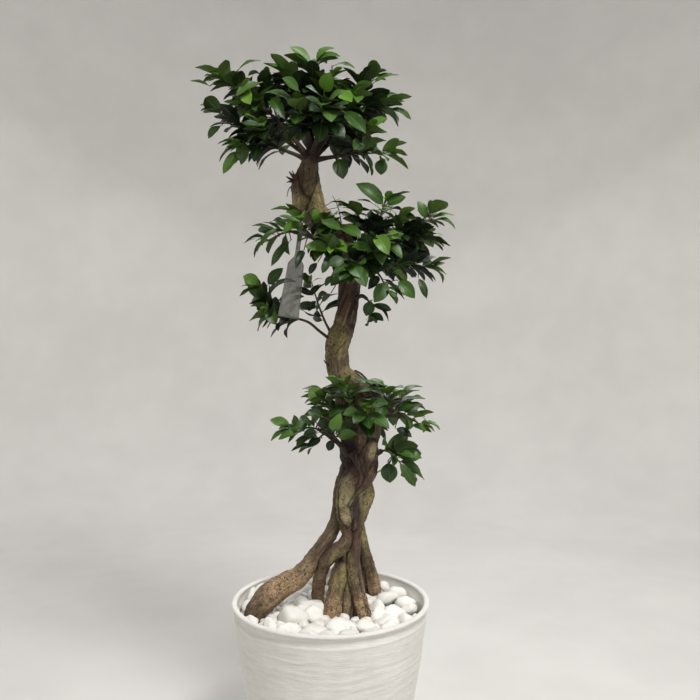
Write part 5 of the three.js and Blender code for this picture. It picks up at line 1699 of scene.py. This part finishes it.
# Level, reach, tries, how close two may lie, and the smallest and largest half length
LAYERS = [
    (0.2885, 0.160, 1500, 0.68, 0.016, 0.027), (0.2985, 0.160, 1500, 0.74, 0.017, 0.028),
    (0.3085, 0.160, 1500, 0.80, 0.017, 0.028), (0.3135, 0.158, 1200, 0.88, 0.014, 0.022),
    (0.3040, 0.162, 2000, 0.72, 0.010, 0.014)]
# Before the legs' feet, from corner to corner, no stone stands higher than this
FEET, FEET_TOP = ((-0.005, -0.080), (0.088, -0.020)), 0.314
root_samples = np.vstack([lines[name] for name in ROOTS])
root_samples = root_samples[(root_samples[:, 2] > 0.275) & (root_samples[:, 2] < 0.335)]


def clear_of_roots(spot, reach):
    away = np.linalg.norm(root_samples[:, :3] - spot, axis=1) - root_samples[:, 3]
    return away.min() > reach


rng = np.random.default_rng(21)
stone_rows, stone_spots = [], []
for x, y, a, b, c in FRONT_STONES:
    z = BED_TOP - STONE_SINK + 0.8 * c
    stone_rows.append(((x, y, z), (0, 0, 0), (a, b, c), int(rng.integers(8)), 0.0))
    stone_spots.append((x, y, z, (a + b) / 2, c))
for x, y, z, a, b, c in WALL_STONES:
    along_wall = math.atan2(y, x) + math.pi / 2
    stone_rows.append(((x, y, z), (0, 0.12, along_wall), (a, b, c), int(rng.integers(8)), 0.0))
    stone_spots.append((x, y, z, (a + b) / 2, c))
for level, reach, tries, closeness, smallest, largest in LAYERS:
    for _ in range(tries):
        radius, angle = reach * math.sqrt(rng.random()), rng.random() * 2 * math.pi
        a = rng.uniform(smallest, largest)
        b, c = a * rng.uniform(0.72, 0.95), a * rng.uniform(0.55, 0.72)
        height = level + rng.uniform(-0.002, 0.003)
        spot = np.array([radius * math.cos(angle), radius * math.sin(angle), height])
        beside_wall = radius + a > STONE_LIMIT
        if radius + b > STONE_LIMIT or not clear_of_roots(spot, 0.75 * b):
            continue
        if all(low < at < high for low, at, high in zip(FEET[0], spot, FEET[1])) and spot[2] + c > FEET_TOP:
            continue
        others = np.array(stone_spots)
        flat = np.linalg.norm(others[:, :2] - spot[:2], axis=1) / ((a + b) / 2 + others[:, 3])
        high = np.abs(others[:, 2] - spot[2]) / (c + others[:, 4])
        if (np.hypot(flat, high) < closeness).any():
            continue
        turn = angle + math.pi / 2 if beside_wall else rng.random() * 6.28
        stone_rows.append((tuple(spot), (rng.uniform(-0.3, 0.3), rng.uniform(-0.3, 0.3), turn), (a, b, c),
                           int(rng.integers(8)), 0.0))
        stone_spots.append((*spot, (a + b) / 2, c))
print("stones:", len(stone_rows))

# %% Marble finish, and the stones set in place
marble, n, shader, place = new_material("white_marble")
clouds = mottled(n, place, 55.0, 0.3, 0.72)
dust = specked(n, place, 300.0, 0.2, 0.1)
tone = n.mix(n.attribute("chance"), colour(233, 231, 224), colour(244, 243, 239))
tone = n.tint(tone, clouds, 0.2, colour(222, 217, 206))
n.put(shader, "Base Color", n.tint(tone, dust, 0.3, colour(150, 140, 122)))
n.put(shader, "Roughness", n.band(clouds, 0.0, 1.0, 0.5, 0.7))
pits = n.add("ShaderNodeTexNoise", Vector=place, Scale=160.0, Detail=4.0, Roughness=0.65)
n.relief(shader, pits.outputs[0], 0.55, 0.0025)
pebbles = grow(points_object("stone_points", stone_rows), scatter_tree, "pebbles",
               Shapes=stone_kinds, Material=marble)
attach(pebbles, "root")
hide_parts("pebble_mulch")
print("pebbles:", triangles(pebbles), "triangles")

# %% [markdown]
# ## The tag
# A blank strip of milky plastic film hangs on the left limb of the middle pad, closed round it by a
# loop. Thin film is never flat: it curls along its length and bows between its edges.

# %% Hang the tag
TAG = {"centre": (-0.054, -0.0616, 1.003), "loop_radius": 0.0065, "strap_width": 0.008, "strap_length": 0.054,
       "body_top": 0.029, "body_bottom": 0.038, "body_length": 0.098, "thickness": 0.0006,
       "lean": math.radians(8), "turn": math.radians(12)}


def tag_points():
    """Rows of the film from the loop down, each with its middle line and its half width."""
    rows = []
    for a in np.linspace(0.0, 2 * math.pi * 0.97, 22):
        r = TAG["loop_radius"]
        rows.append((r * math.sin(a), -r * math.cos(a), TAG["strap_width"] / 2))
    drops = np.linspace(TAG["loop_radius"], TAG["strap_length"] + TAG["body_length"], 34)
    for drop in drops[1:]:
        half = np.interp(drop, [0, TAG["strap_length"] - 0.014, TAG["strap_length"],
                                TAG["strap_length"] + TAG["body_length"]],
                         [TAG[key] / 2 for key in ("strap_width", "strap_width", "body_top", "body_bottom")])
        share = max(0.0, (drop - 0.02) / 0.13)
        rows.append((-0.0035 * math.sin(share * 3.4), -drop, half))
    return rows


def spun(points, angle, first, second):
    """Points turned in the plane of two axes."""
    points = points.copy()
    a, b = points[:, first].copy(), points[:, second].copy()
    points[:, first] = a * math.cos(angle) - b * math.sin(angle)
    points[:, second] = a * math.sin(angle) + b * math.cos(angle)
    return points


columns = 9
points = []
for y, z, half in tag_points():
    for c in np.linspace(-1, 1, columns):
        bow = 0.0022 * (c * c) * min(1.0, max(0.0, (-z - 0.03) / 0.05)) + 0.0008 * math.sin(3 * c + z * 90)
        points.append((c * half, y - bow * min(1.0, -z / 0.04) if z < -0.008 else y, z))
points = spun(spun(np.array(points), -TAG["lean"], 0, 2), TAG["turn"], 0, 1) + np.array(TAG["centre"])
sheet = make_object("tag_sheet", points, grid_faces(len(points) // columns, columns, closed=False))
thick = sheet.modifiers.new("thickness", "SOLIDIFY")
thick.thickness, thick.offset = TAG["thickness"], 0
tag = baked(sheet, "film_tag")

# %% Milky film finish
milky_film, n, shader, place = new_material("milky_film")
haze = mottled(n, n.stretched(place, (1, 1, 0.3)), 16.0, 0.3, 0.7)
# The grey is darker than the milky film itself: partly its own tone and partly painted shade, standing for
# the shadowed wall seen through it
n.put(shader, "Base Color", n.mix(haze, colour(74, 76, 68), colour(116, 117, 109)))
n.put(shader, "Roughness", n.band(haze, 0.0, 1.0, 0.28, 0.5))
n.put(shader, "Alpha", n.band(haze, 0.0, 1.0, 0.58, 0.78))
creases = n.add("ShaderNodeTexNoise", Vector=n.stretched(place, (1, 1, 0.2)), Scale=34.0, Detail=1.0)
n.relief(shader, creases.outputs[0], 0.2, 0.002)
tag.data.materials.append(milky_film)
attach(tag, "root")
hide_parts("hang_tag")
print("tag:", triangles(tag), "triangles")

# %% [markdown]
# ## Sizes
# The dressed model has to keep the imported model's size. The imported model's box is printed.

# %% Write the sizes and finish
print("cad box", [[round(x, 4) for x in c] for c in cad_box])
